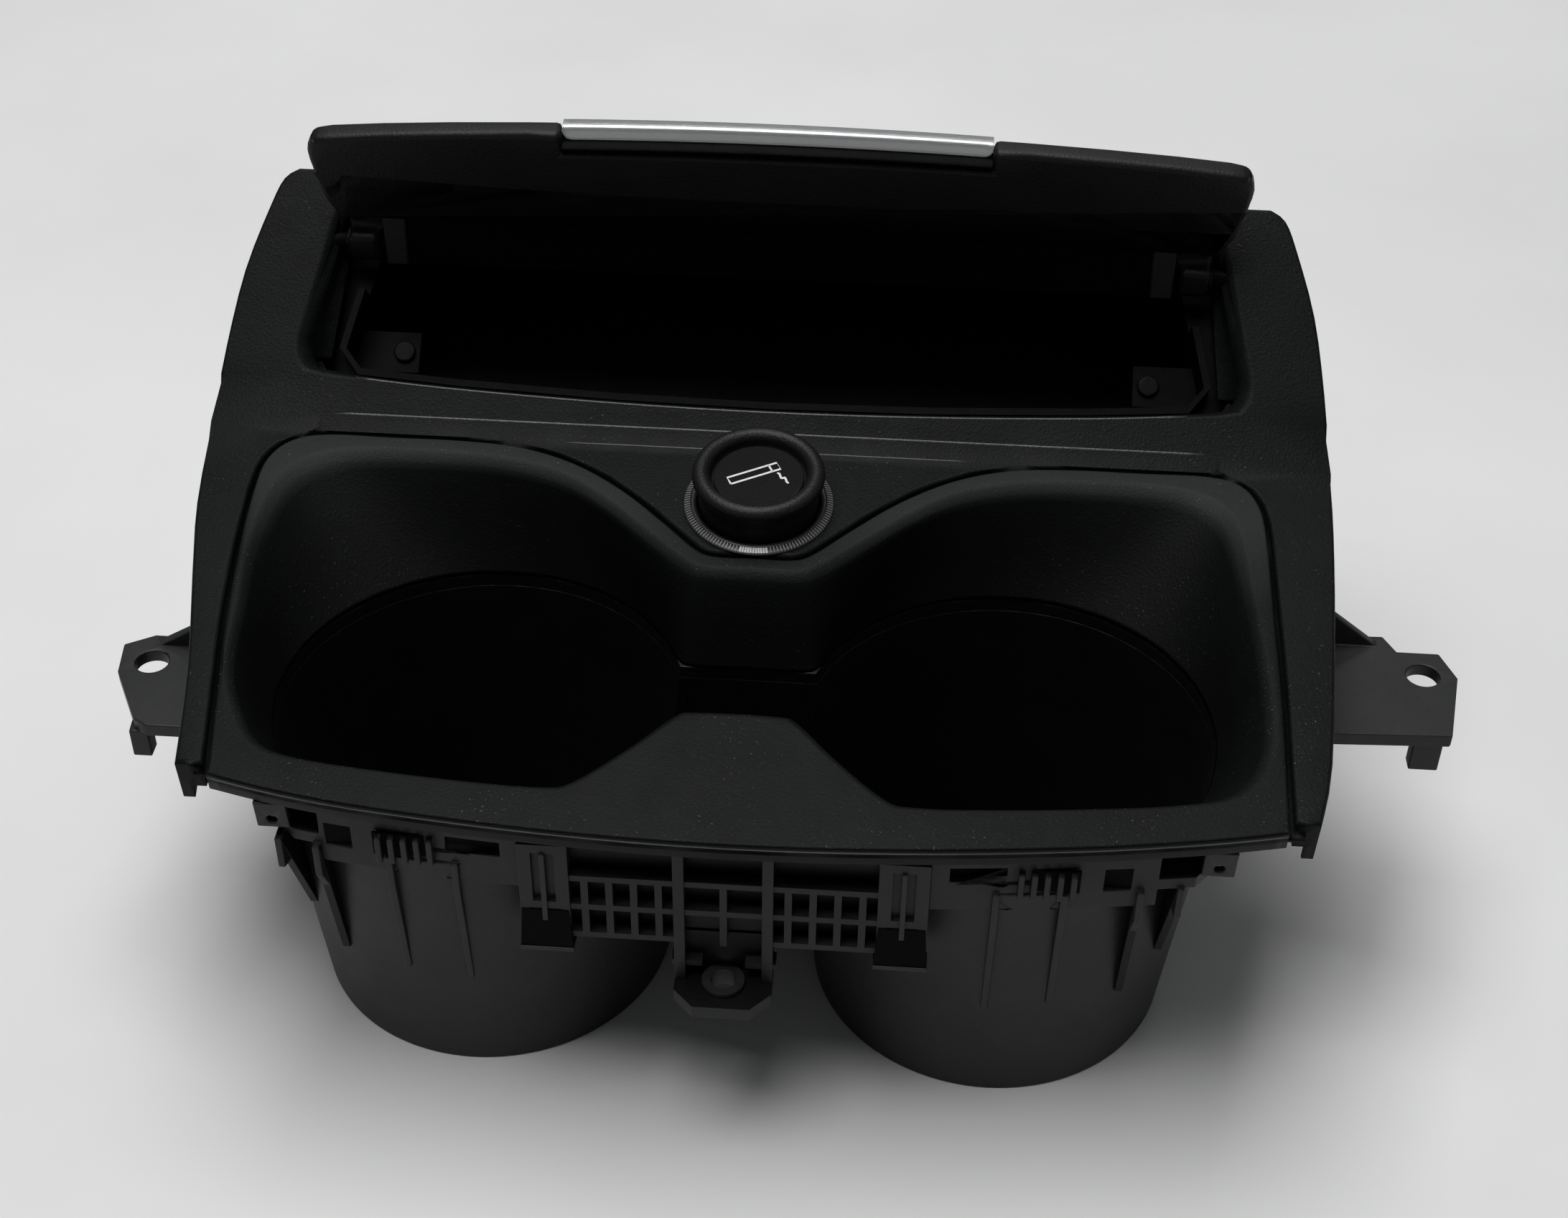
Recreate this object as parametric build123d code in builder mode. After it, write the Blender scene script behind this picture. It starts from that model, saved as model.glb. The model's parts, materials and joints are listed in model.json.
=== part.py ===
"""Cup holder unit of a car's centre console: trim panel, cup liner, wells, storage bin with lid, lighter."""
import math
import os
from build123d import *

os.makedirs("parts", exist_ok=True)

# Origin: middle of the whole in plan, on the bench the wells stand on
MID_X = 6.9
MID_Y = 33.28

# Trim surfaces: a front face over the cups and a steeper rear face round the bin, angles in degrees
FRONT_SLOPE = 7.0
REAR_SLOPE = 41.25
FRONT_HEIGHT = 71.8
BEND_AT = 51.7
PANEL_T = 2.6
SKIRT_T = 2.0
SKIRT_H = 9.0
ARM_END_T = 2.0
ARM_END_H = 6.0
BEND_FILL = 6.0
REAR_FILL = 1.6
CREASE_FRONT = 1.2
CREASE_REAR = 2.5
CREASE_HALF = 84.0

# Outer edge of the trim, half widths at the front ends, the middle, the bend and the rear
ARM_FRONT_LEFT = 90.5
ARM_FRONT_RIGHT = 95.2
ARM_MID_LEFT = 98.4
ARM_MID_RIGHT = 101.6
BEND_HALF = 104.6
REAR_HALF = 96.0
REAR_LENGTH = 51.0
ARM_END = -31.4

# Line between the trim and the cup liner
EDGE_GAP = 0.8
LEDGE_IN = 1.4
LEDGE_OUT = 2.4
LEDGE_T = 1.2
EDGE_FRONT_LEFT = 85.3
EDGE_FRONT_RIGHT = 90.5
EDGE_HALF = 92.0
EDGE_REAR = 50.2
TONGUE_TIP = 22.9
TONGUE_HALF = 8.4

# Cup liner: lip, wall and front rim
LIP_T = 2.2
LINER_WALL = 1.8
RIM_FRONT = -42.3
RIM_CORNER = -33.6
RIM_SKIRT_T = 1.8
RIM_SKIRT_H = 4.2
NOTCH_W = 7.0
NOTCH_H = 0.6
BUMP_TOP_HALF = 8.4
BUMP_TOP = -14.1
BUMP_FOOT_HALF = 25.5

# Wells and their carrier
SEAT_Z = 57.0
DECK_T = 2.4
WELL_HALF_PITCH = 46.15
WELL_MOUTH_R = 36.0
WELL_BASE_R = 30.4
WELL_WALL = 2.0
WELL_FLOOR = 2.2
NECK_BACK = 12.0
NECK_FRONT = -10.5
NECK_FLOOR = 30.0
NECK_HALF = 18.0
APRON_T = 1.6
APRON_GAP = 0.4
SEAT_CLEAR = 0.3
APRON_LOW = 51.0
APRON_TOP = 62.4
RIB_T = 1.2
RIB_TOP = 52.5
MAT_T = 2.0
MAT_CLEAR = 0.5

# Screw posts under the trim, seated on the deck
POST_X = 25.0
POST_Y = 46.4
POST_R = 3.4
TRIM_SCREW_R = 1.5
TRIM_SCREW_L = 10.0
TRIM_HEAD_R = 3.0
TRIM_HEAD_T = 1.4

# Rear legs under the deck, which carry the weight of the bin and lid
LEG_X = 75.0
LEG_T = 3.0
LEG_PAD_W = 12.0
LEG_TOP_FRONT = 34.0
LEG_TOP_REAR = 43.0
LEG_TOE = 76.0
LEG_HEEL = 58.0
LEG_PAD_T = 2.4

# Front bracket
BRACKET_HALF = 33.4
BRACKET_Y = -40.0
BRACKET_D = 4.0
POST_W = 8.2
GRID_TOP = 54.6
GRID_MID = 48.1
GRID_LOW = 41.6
GRID_BAR = 1.2
BACK_T = 0.8
CHANNEL_HALF = 8.2
CHANNEL_WALL = 1.8
FOOT_Z = 30.0
FOOT_T = 2.6
FOOT_FRONT = -46.0
FOOT_HOLE_R = 2.2
FOOT_RING_R = 3.6
FOOT_RING_H = 1.0
FOOT_HOLE_Y = -40.4

# Side tabs
TAB_T = 2.6
TAB_HOLE_R = 3.0
LEFT_HOLE_X = -107.6
LEFT_HOLE_Y = 8.6
LEFT_TIP = -114.0
RIGHT_HOLE_X = 121.6
RIGHT_HOLE_Y = 23.2
RIGHT_TIP = 127.8

# Lid opening, bin and lid
OPEN_FRONT = 7.6
OPEN_BOW = 3.4
OPEN_HALF_FRONT = 87.5
OPEN_HALF_REAR = 82.6
BORDER_W = 2.2
BORDER_FRONT = 0.6
BORDER_H = 1.8
OPEN_REAR = 43.6
COLLAR_T = 1.6
COLLAR_H = 10.0
STEP_W = 3.0
STEP_FRONT = 1.0
STEP_ROOT = 0.8
STEP_END = 41.0
STEP_CLEAR = 0.4
STEP_DEPTH = 5.8
STEP_T = 1.6
BIN_LEDGE = 5.8
BIN_FRONT_LEDGE = 2.6
BIN_WALL = 1.8
BIN_DEPTH = 30.0
BIN_FLANGE_T = 1.8
PAD_DROP = 4.0
PAD_W = 13.0
PAD_L = 8.0
PAD_V = 19.0
BIN_LIP_T = 1.3
BIN_LIP_H = 4.2
BIN_LIP_END = 29.0
SCREW_R = 1.1
SCREW_HEAD_R = 2.1
SCREW_HEAD_T = 0.9
SCREW_L = 3.2
SCREW_CLEAR = 0.05
LID_CLEAR = 0.7
LID_T = 2.2
LID_RIM = 2.0
LID_RIM_H = 4.6
LIP_ENDS = 21.2
LIP_MIDDLE = 23.6
PAN_HALF = 75.0
PAN_REAR = 41.5
LID_RIM_END = 31.0
LID_REAR = 42.4
PAN_T = 1.2
PAN_CLEAR = 0.3
HANDLE_HALF = 39.2
HANDLE_L = 4.2
HANDLE_RISE = 0.3
HINGE_V = 37.3
HINGE_DEPTH = 2.3
OPEN_ANGLE = 122.8
PIN_R = 1.5
PIN_CLEAR = 0.05
PIN_OUT = 4.6
PIN_IN = 3.4
BOSS_W = 6.0
BOSS_L = 6.0

# Lighter, on an axis square to the front face
LIGHTER_V = 36.5
RING_R = 13.75
RING_T = 0.9
RING_NECK_R = 12.5
RING_BORE_R = 11.35
RING_DROP = 8.0
HOLE_CLEAR = 0.3
SOCKET_CLEAR = 2.0
SOCKET_BORE_R = 10.5
SOCKET_WALL = 0.9
SOCKET_LENGTH = 38.0
SOCKET_FLOOR = 1.5
SLEEVE_R = 10.15
SLEEVE_WALL = 0.6
SLEEVE_TOP = -5.6
SLEEVE_LENGTH = 26.0
KNOB_R = 12.0
KNOB_TUBE_R = 1.6
KNOB_RIM_Z = 7.1
KNOB_SKIRT_R = 10.9
KNOB_SKIRT_LOW = 1.6
KNOB_STEM_R = 9.0
KNOB_DISC_R = 8.2
KNOB_DISC_T = 0.8
HEATER_R = 7.4
HEATER_LENGTH = 5.0
KNOB_TOP_Z = 5.8
STEM_LENGTH = 12.0
STUD_R = 2.0
STUD_HEAD_R = 4.0
BLADE_W = 6.3
BLADE_T = 0.8
BLADE_L = 9.0


def at(x, y, z):
    return (x - MID_X, y - MID_Y, z)


def sin(angle):
    return math.sin(math.radians(angle))


def cos(angle):
    return math.cos(math.radians(angle))


def smooth(points, steps=3):
    """Rounded chain through the points."""
    ends = [points[0]] + list(points) + [points[-1]]
    out = []
    for i in range(1, len(ends) - 2):
        p0, p1, p2, p3 = ends[i - 1:i + 3]
        for k in range(steps):
            t = k / steps
            out.append(tuple(
                0.5 * (2 * b + (c - a) * t + (2 * a - 5 * b + 4 * c - d) * t * t
                       + (3 * b - a - 3 * c + d) * t * t * t)
                for a, b, c, d in zip(p0, p1, p2, p3)))
    out.append(tuple(points[-1]))
    return out


def shift(points, by, closed=False):
    """Chain moved to its left by a distance."""
    n = len(points)
    out = []
    for i in range(n):
        if closed:
            a, b = points[i - 1], points[(i + 1) % n]
        else:
            a, b = points[max(i - 1, 0)], points[min(i + 1, n - 1)]
        dx, dy = b[0] - a[0], b[1] - a[1]
        size = math.hypot(dx, dy)
        out.append((points[i][0] - dy / size * by, points[i][1] + dx / size * by))
    return out


def block(x0, x1, y0, y1, z0, z1, mode=Mode.ADD):
    with Locations(at((x0 + x1) / 2, (y0 + y1) / 2, (z0 + z1) / 2)):
        Box(abs(x1 - x0), abs(y1 - y0), abs(z1 - z0), mode=mode)


BEND_Y = BEND_AT * cos(FRONT_SLOPE)
BEND_Z = FRONT_HEIGHT + BEND_AT * sin(FRONT_SLOPE)
FRONT = Plane(origin=at(0, 0, FRONT_HEIGHT), x_dir=(1, 0, 0),
              z_dir=(0, -sin(FRONT_SLOPE), cos(FRONT_SLOPE)))
REAR = Plane(origin=at(0, BEND_Y, BEND_Z), x_dir=(1, 0, 0),
             z_dir=(0, -sin(REAR_SLOPE), cos(REAR_SLOPE)))
SEAT = Plane(origin=at(0, 0, SEAT_Z))
SIDE = Plane(origin=at(0, 0, 0), x_dir=(0, 1, 0), z_dir=(1, 0, 0))
HINGE_Y = BEND_Y + HINGE_V * cos(REAR_SLOPE) + HINGE_DEPTH * sin(REAR_SLOPE)
HINGE_Z = BEND_Z + HINGE_V * sin(REAR_SLOPE) - HINGE_DEPTH * cos(REAR_SLOPE)
LID_SLOPE = REAR_SLOPE - OPEN_ANGLE
LID_Y = HINGE_Y - HINGE_V * cos(LID_SLOPE) - HINGE_DEPTH * sin(LID_SLOPE)
LID_Z = HINGE_Z - HINGE_V * sin(LID_SLOPE) + HINGE_DEPTH * cos(LID_SLOPE)
LID = Plane(origin=at(0, LID_Y, LID_Z), x_dir=(1, 0, 0),
            z_dir=(0, -sin(LID_SLOPE), cos(LID_SLOPE)))
LIGHTER = Plane(origin=at(0, LIGHTER_V * cos(FRONT_SLOPE), FRONT_HEIGHT + LIGHTER_V * sin(FRONT_SLOPE)),
                x_dir=(1, 0, 0), z_dir=(0, -sin(FRONT_SLOPE), cos(FRONT_SLOPE)))

AXIAL = Plane(origin=LIGHTER.origin, x_dir=(1, 0, 0), z_dir=(0, -cos(FRONT_SLOPE), -sin(FRONT_SLOPE)))

# Outer edges of the trim, front to bend, on the front face
LEFT_EDGE = smooth([(-ARM_FRONT_LEFT, ARM_END), (-ARM_FRONT_LEFT - 3.0, ARM_END + 20.5),
                    (-ARM_MID_LEFT, 12.0), (-BEND_HALF + 2.6, 30.0), (-BEND_HALF, BEND_AT)])
RIGHT_EDGE = smooth([(ARM_FRONT_RIGHT, ARM_END), (ARM_FRONT_RIGHT + 3.0, ARM_END + 13.0),
                     (ARM_MID_RIGHT, 12.0), (BEND_HALF - 0.9, 36.0), (BEND_HALF, BEND_AT)])

# Outer edges of the rear face, bend to rear corner
REAR_EDGE = smooth([(BEND_HALF, 0), (BEND_HALF - 1.3, 15.0), (BEND_HALF - 3.4, 30.0),
                    (REAR_HALF + 1.6, REAR_LENGTH - 8.0), (REAR_HALF - 0.6, REAR_LENGTH - 2.4),
                    (REAR_HALF - 3.4, REAR_LENGTH - 0.3)])
REAR_LEFT = [(-x, y) for x, y in REAR_EDGE]

# Line between trim and liner, from the left front end round to the right front end
EDGE = smooth([
    (-EDGE_FRONT_LEFT, ARM_END), (-EDGE_FRONT_LEFT - 2.3, ARM_END + 15.0), (-EDGE_HALF + 1.9, 0.0),
    (-EDGE_HALF, 19.0), (-EDGE_HALF - 0.8, 34.0), (-EDGE_HALF - 0.2, 42.5), (-EDGE_HALF + 3.4, 48.0),
    (-EDGE_HALF + 10.0, EDGE_REAR), (-70.0, EDGE_REAR), (-56.6, EDGE_REAR), (-45.2, EDGE_REAR - 1.1),
    (-34.8, EDGE_REAR - 4.8), (-25.1, EDGE_REAR - 11.3), (-16.5, TONGUE_TIP + 7.9),
    (-TONGUE_HALF - 2.1, TONGUE_TIP + 1.8), (-TONGUE_HALF + 1.4, TONGUE_TIP), (0.0, TONGUE_TIP),
    (TONGUE_HALF - 1.4, TONGUE_TIP), (TONGUE_HALF + 2.1, TONGUE_TIP + 1.8), (16.5, TONGUE_TIP + 7.9),
    (25.1, EDGE_REAR - 11.3), (34.8, EDGE_REAR - 4.8), (45.2, EDGE_REAR - 1.1), (56.6, EDGE_REAR),
    (70.0, EDGE_REAR), (EDGE_HALF - 10.0, EDGE_REAR), (EDGE_HALF - 3.8, 48.0), (EDGE_HALF - 0.8, 42.5),
    (EDGE_HALF, 34.0), (EDGE_HALF - 0.2, 13.8), (EDGE_HALF - 0.4, -5.0),
    (EDGE_FRONT_RIGHT + 0.3, ARM_END + 6.0), (EDGE_FRONT_RIGHT, ARM_END - 1.0)])

# Front edge of the liner's rim, right to left
RIM = smooth([(EDGE_FRONT_RIGHT - 0.6, RIM_CORNER), (76.8, RIM_FRONT + 6.2), (56.0, RIM_FRONT + 3.3),
              (28.0, RIM_FRONT + 0.9), (0.0, RIM_FRONT), (-28.0, RIM_FRONT + 0.9),
              (-56.0, RIM_FRONT + 3.4), (-72.0, RIM_FRONT + 5.8), (-EDGE_FRONT_LEFT + 0.6, RIM_CORNER)])


def around(reach):
    """Point of a well's mouth circle at a distance along X from the middle of the unit."""
    return math.sqrt(max(WELL_MOUTH_R ** 2 - (reach - WELL_HALF_PITCH) ** 2, 0.0))


# Lip's inner edge on the front face paired with the well mouths below, right half, rear to front
PAIRS_RIGHT = [
    ((0.0, TONGUE_TIP - 4.2), (0.0, NECK_BACK)), ((TONGUE_HALF, TONGUE_TIP - 4.2), (9.0, NECK_BACK)),
    ((TONGUE_HALF + 4.4, TONGUE_TIP - 2.0), (12.4, 13.2)),
    ((20.5, TONGUE_TIP + 5.0), (16.0, around(16.0))), ((29.0, EDGE_REAR - 14.4), (22.0, around(22.0))),
    ((38.0, EDGE_REAR - 8.4), (30.0, around(30.0))), ((50.0, EDGE_REAR - 5.2), (40.0, around(40.0))),
    ((64.0, EDGE_REAR - 4.6), (52.0, around(52.0))), ((77.0, EDGE_REAR - 5.2), (62.0, around(62.0))),
    ((83.4, EDGE_REAR - 8.6), (70.0, around(70.0))), ((86.0, EDGE_REAR - 15.0), (76.0, around(76.0))),
    ((87.0, 21.0), (80.4, around(80.4))), ((88.0, 5.0), (WELL_HALF_PITCH + WELL_MOUTH_R, 0.0)),
    ((88.4, -9.0), (80.6, -around(80.6))), ((86.8, -19.0), (77.5, -around(77.5))),
    ((82.0, -25.8), (72.5, -around(72.5))), ((72.0, -28.4), (64.0, -around(64.0))),
    ((56.0, -30.2), (54.0, -around(54.0))), ((41.0, -31.4), (42.0, -around(42.0))),
    ((30.0, -31.8), (31.0, -around(31.0))), ((BUMP_FOOT_HALF, -30.6), (23.0, -around(23.0))),
    ((17.0, -22.6), (15.6, -around(15.6))), ((BUMP_TOP_HALF + 2.0, BUMP_TOP - 1.4), (11.6, NECK_FRONT - 0.5)),
    ((BUMP_TOP_HALF - 1.6, BUMP_TOP), (7.0, NECK_FRONT))]
LEFT_LEAN = [0.0, 0.0, 0.0, 0.0, 0.0, 0.0, 0.0, 0.0, -0.8, -1.6, -2.2, -2.2, 0.4, 2.0, 4.0, 3.8, 1.0,
             0.0, 0.0, 0.0, 0.0, 0.0, 0.0, 0.0]
UPPER = [p for p, q in PAIRS_RIGHT] + [
    (-p[0] + lean, p[1]) for (p, q), lean in list(zip(PAIRS_RIGHT, LEFT_LEAN))[:0:-1]]
LOWER = [q for p, q in PAIRS_RIGHT] + [(-q[0], q[1]) for p, q in PAIRS_RIGHT[:0:-1]]

# Lid opening in the rear face, anticlockwise from the left front corner
OPENING = smooth([
    (-OPEN_HALF_FRONT + 0.4, 19.0), (-OPEN_HALF_FRONT, 15.6), (-OPEN_HALF_FRONT + 1.2, 12.4),
    (-OPEN_HALF_FRONT + 5.2, OPEN_FRONT + OPEN_BOW), (-60.0, OPEN_FRONT + OPEN_BOW * 0.5),
    (-30.0, OPEN_FRONT + OPEN_BOW * 0.13), (0.0, OPEN_FRONT), (30.0, OPEN_FRONT + OPEN_BOW * 0.13),
    (60.0, OPEN_FRONT + OPEN_BOW * 0.5), (OPEN_HALF_FRONT - 5.2, OPEN_FRONT + OPEN_BOW),
    (OPEN_HALF_FRONT - 1.2, 12.4), (OPEN_HALF_FRONT, 15.6), (OPEN_HALF_FRONT - 0.4, 19.0)], 2) + [
    (OPEN_HALF_REAR, OPEN_REAR - 1.0), (OPEN_HALF_REAR - 1.0, OPEN_REAR),
    (-OPEN_HALF_REAR + 1.0, OPEN_REAR), (-OPEN_HALF_REAR, OPEN_REAR - 1.0)]
LID_SIDE = OPEN_HALF_REAR - LID_CLEAR
LID_HALF = OPEN_HALF_FRONT - LID_CLEAR - 0.4
LID_TURN = [(LID_SIDE + (LID_HALF - LID_SIDE) * share, v)
            for share, v in ((0.88, 23.0), (0.62, 26.5), (0.25, 29.4), (0.0, LID_RIM_END + 1.0))]
LID_EDGE = shift(OPENING, LID_CLEAR, True)[:-4] + LID_TURN + [
    (LID_SIDE, LID_REAR), (-LID_SIDE, LID_REAR)] + [(-x, v) for x, v in LID_TURN[::-1]]
# Outer line of the sloped border round the opening, wide at the sides and narrow in front
BORDER = [(x + math.copysign(BORDER_W * min(max((abs(x) - 60.0) / 25.0, 0.0), 1.0), x),
           v - BORDER_FRONT if v < 14.0 else v) for x, v in OPENING]
STEP_OUT = [p for p in shift(OPENING, -STEP_ROOT, True) if p[1] < 15.5]
STEP_IN = [p for p in shift(OPENING, STEP_FRONT, True) if p[1] < 15.5]
BIN_EDGE = [
    (-OPEN_HALF_FRONT + BIN_LEDGE, 17.0), (-OPEN_HALF_FRONT + BIN_LEDGE + 3.0, OPEN_FRONT + OPEN_BOW + 2.2),
    (-60.0, OPEN_FRONT + OPEN_BOW * 0.5 + BIN_FRONT_LEDGE),
    (-30.0, OPEN_FRONT + OPEN_BOW * 0.13 + BIN_FRONT_LEDGE),
    (0.0, OPEN_FRONT + BIN_FRONT_LEDGE), (30.0, OPEN_FRONT + OPEN_BOW * 0.13 + BIN_FRONT_LEDGE),
    (60.0, OPEN_FRONT + OPEN_BOW * 0.5 + BIN_FRONT_LEDGE),
    (OPEN_HALF_FRONT - BIN_LEDGE - 3.0, OPEN_FRONT + OPEN_BOW + 2.2), (OPEN_HALF_FRONT - BIN_LEDGE, 17.0),
    (OPEN_HALF_REAR - BIN_LEDGE, OPEN_REAR - 4.0), (OPEN_HALF_REAR - BIN_LEDGE - 3.0, OPEN_REAR - 0.6),
    (-OPEN_HALF_REAR + BIN_LEDGE + 3.0, OPEN_REAR - 0.6), (-OPEN_HALF_REAR + BIN_LEDGE, OPEN_REAR - 4.0)]

# Trim panel: two arms and a tongue on the front face, a frame on the rear face, skirts, lid collar
with BuildPart() as trim_panel:
    with BuildSketch(FRONT):
        with BuildLine():
            Polyline(*LEFT_EDGE, (-BEND_HALF, BEND_AT + BEND_FILL), (BEND_HALF, BEND_AT + BEND_FILL),
                     *RIGHT_EDGE[::-1], close=True)
        make_face()
        with BuildLine():
            Polyline(*shift(EDGE, EDGE_GAP / 2), (EDGE_FRONT_RIGHT, ARM_END - 30),
                     (-EDGE_FRONT_LEFT, ARM_END - 30), close=True)
        make_face(mode=Mode.SUBTRACT)
    extrude(amount=-PANEL_T)
    with BuildSketch(REAR):
        with BuildLine():
            Polyline((BEND_HALF, -REAR_FILL), *REAR_EDGE, *REAR_LEFT[::-1], (-BEND_HALF, -REAR_FILL),
                     close=True)
        make_face()
    extrude(amount=-PANEL_T)
    with BuildSketch(FRONT):
        with BuildLine():
            Polyline(*LEFT_EDGE, (-BEND_HALF, BEND_AT + BEND_FILL), (BEND_HALF, BEND_AT + BEND_FILL),
                     *RIGHT_EDGE[::-1], close=True)
        make_face()
        with BuildLine():
            Polyline((-ARM_FRONT_LEFT + SKIRT_T, ARM_END - 30), *shift(LEFT_EDGE, -SKIRT_T),
                     (-BEND_HALF + SKIRT_T, BEND_AT + 30), (BEND_HALF - SKIRT_T, BEND_AT + 30),
                     *shift(RIGHT_EDGE, SKIRT_T)[::-1], (ARM_FRONT_RIGHT - SKIRT_T, ARM_END - 30), close=True)
        make_face(mode=Mode.SUBTRACT)
    extrude(amount=-SKIRT_H)
    with BuildSketch(REAR):
        with BuildLine():
            Polyline((BEND_HALF, 0), *REAR_EDGE[1:], *REAR_LEFT[:0:-1], (-BEND_HALF, 0), close=True)
        make_face()
        with BuildLine():
            Polyline((BEND_HALF - SKIRT_T, -30), *shift(REAR_EDGE, SKIRT_T),
                     *shift(REAR_LEFT, -SKIRT_T)[::-1], (-BEND_HALF + SKIRT_T, -30), close=True)
        make_face(mode=Mode.SUBTRACT)
    extrude(amount=-SKIRT_H)
    with BuildSketch(FRONT.offset(-PANEL_T)):
        with BuildLine():
            Polyline(*shift(EDGE, LEDGE_OUT), *shift(EDGE, -LEDGE_IN)[::-1], close=True)
        make_face()
    extrude(amount=-LEDGE_T)
    with BuildSketch(FRONT):
        with Locations((-(ARM_FRONT_LEFT + EDGE_FRONT_LEFT + EDGE_GAP) / 2, ARM_END + ARM_END_T / 2)):
            Rectangle(ARM_FRONT_LEFT - EDGE_FRONT_LEFT - EDGE_GAP, ARM_END_T)
        with Locations(((ARM_FRONT_RIGHT + EDGE_FRONT_RIGHT + EDGE_GAP) / 2, ARM_END + ARM_END_T / 2)):
            Rectangle(ARM_FRONT_RIGHT - EDGE_FRONT_RIGHT - EDGE_GAP, ARM_END_T)
    extrude(amount=-ARM_END_H)
    with BuildSketch(SIDE.offset(-CREASE_HALF)):
        with BuildLine():
            Polyline((BEND_Y - CREASE_FRONT * cos(FRONT_SLOPE), BEND_Z - CREASE_FRONT * sin(FRONT_SLOPE)),
                     (BEND_Y + CREASE_REAR * cos(REAR_SLOPE), BEND_Z + CREASE_REAR * sin(REAR_SLOPE)),
                     (BEND_Y + 1.0, BEND_Z - 1.0), close=True)
        make_face()
    extrude(amount=2 * CREASE_HALF)
    with BuildSketch(REAR):
        with BuildLine():
            Polyline(*shift(OPENING, -COLLAR_T, True), close=True)
        make_face()
    extrude(amount=-COLLAR_H)
    with BuildSketch(REAR.offset(20)):
        with BuildLine():
            Polyline(*OPENING, close=True)
        make_face()
    extrude(amount=-20 - COLLAR_H, mode=Mode.SUBTRACT)
    with BuildSketch(REAR):
        with BuildLine():
            Polyline(*BORDER, close=True)
        make_face()
    with BuildSketch(REAR.offset(-BORDER_H)):
        with BuildLine():
            Polyline(*OPENING, close=True)
        make_face()
    loft(ruled=True, mode=Mode.SUBTRACT)
    with BuildSketch(REAR.offset(-STEP_DEPTH)):
        with BuildLine():
            Polyline(*STEP_OUT, *STEP_IN[::-1], close=True)
        make_face()
    extrude(amount=-STEP_T)
    with BuildSketch(REAR.offset(-STEP_DEPTH)):
        with BuildLine():
            Polyline((OPEN_HALF_FRONT + STEP_ROOT, 15.0), (OPEN_HALF_REAR + STEP_ROOT, STEP_END),
                     (LID_SIDE + STEP_CLEAR, STEP_END), (OPEN_HALF_FRONT - STEP_W, 15.0), close=True)
        make_face()
        mirror(about=Plane.YZ)
    extrude(amount=-STEP_T)
    for side in (-1, 1):
        with Locations(Location(at(side * OPEN_HALF_REAR, HINGE_Y, HINGE_Z), (0, 90, 0))):
            Cylinder(PIN_R + PIN_CLEAR, 2 * PIN_OUT + 4.0, mode=Mode.SUBTRACT)
    with BuildSketch(LIGHTER):
        Circle(RING_NECK_R + HOLE_CLEAR)
    extrude(amount=-30, both=True, mode=Mode.SUBTRACT)
    POST_TOP = FRONT_HEIGHT + POST_Y * math.tan(math.radians(FRONT_SLOPE)) - PANEL_T / 2
    for side in (-1, 1):
        with BuildSketch(SEAT):
            with Locations((side * POST_X, POST_Y)):
                Circle(POST_R)
        extrude(amount=POST_TOP - SEAT_Z)
        with BuildSketch(SEAT):
            with Locations((side * POST_X, POST_Y)):
                Circle(TRIM_SCREW_R + SCREW_CLEAR)
        extrude(amount=TRIM_SCREW_L, mode=Mode.SUBTRACT)

# Cup liner: lip, wall down to the well mouths, front rim with its skirt, bump between the cups
with BuildPart() as cup_liner:
    with BuildSketch(FRONT):
        with BuildLine():
            Polyline(*shift(EDGE, -EDGE_GAP / 2), *RIM, close=True)
        make_face()
    extrude(amount=-LIP_T)
    with BuildSketch(FRONT):
        with BuildLine():
            Polyline(*RIM, *shift(RIM, -RIM_SKIRT_T)[::-1], close=True)
        make_face()
    extrude(amount=-RIM_SKIRT_H)
    with BuildSketch(FRONT):
        with BuildLine():
            Polyline(*shift(UPPER, LINER_WALL, True), close=True)
        make_face()
    with BuildSketch(SEAT):
        with BuildLine():
            Polyline(*shift(LOWER, LINER_WALL, True), close=True)
        make_face()
    loft(ruled=True)
    with BuildSketch(FRONT):
        with BuildLine():
            Polyline(*UPPER, close=True)
        make_face()
    with BuildSketch(SEAT):
        with BuildLine():
            Polyline(*LOWER, close=True)
        make_face()
    loft(ruled=True, mode=Mode.SUBTRACT)
    with BuildSketch(FRONT):
        with Locations((0, RIM_FRONT + 1.2)):
            Rectangle(NOTCH_W, 2.0)
    extrude(amount=NOTCH_H)


# Deck under the liner with the front apron, its windows and combs, and the gusset ribs
FRONT_WALL = [(x, y * cos(FRONT_SLOPE)) for x, y in shift(RIM, -RIM_SKIRT_T - APRON_GAP)]
BACK_WALL = [(x, y * cos(FRONT_SLOPE)) for x, y in shift(RIM, -RIM_SKIRT_T - APRON_GAP - APRON_T)]
DECK_LOW = SEAT_Z - DECK_T
RIB_AT = [44.2, 55.2, 67.6, 74.2]
RIB_LOW = [24.0, 25.0, 36.0, 44.0]
RIB_REACH = [38.4, 37.6, 36.2, 34.8]
COMB_Y = -38.7
WELL_TAPER = (WELL_MOUTH_R - WELL_BASE_R) / SEAT_Z
OUTER_TOP_R = WELL_BASE_R + WELL_WALL + WELL_TAPER * DECK_LOW
INNER_TOP_R = WELL_MOUTH_R - WELL_TAPER * DECK_T
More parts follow.
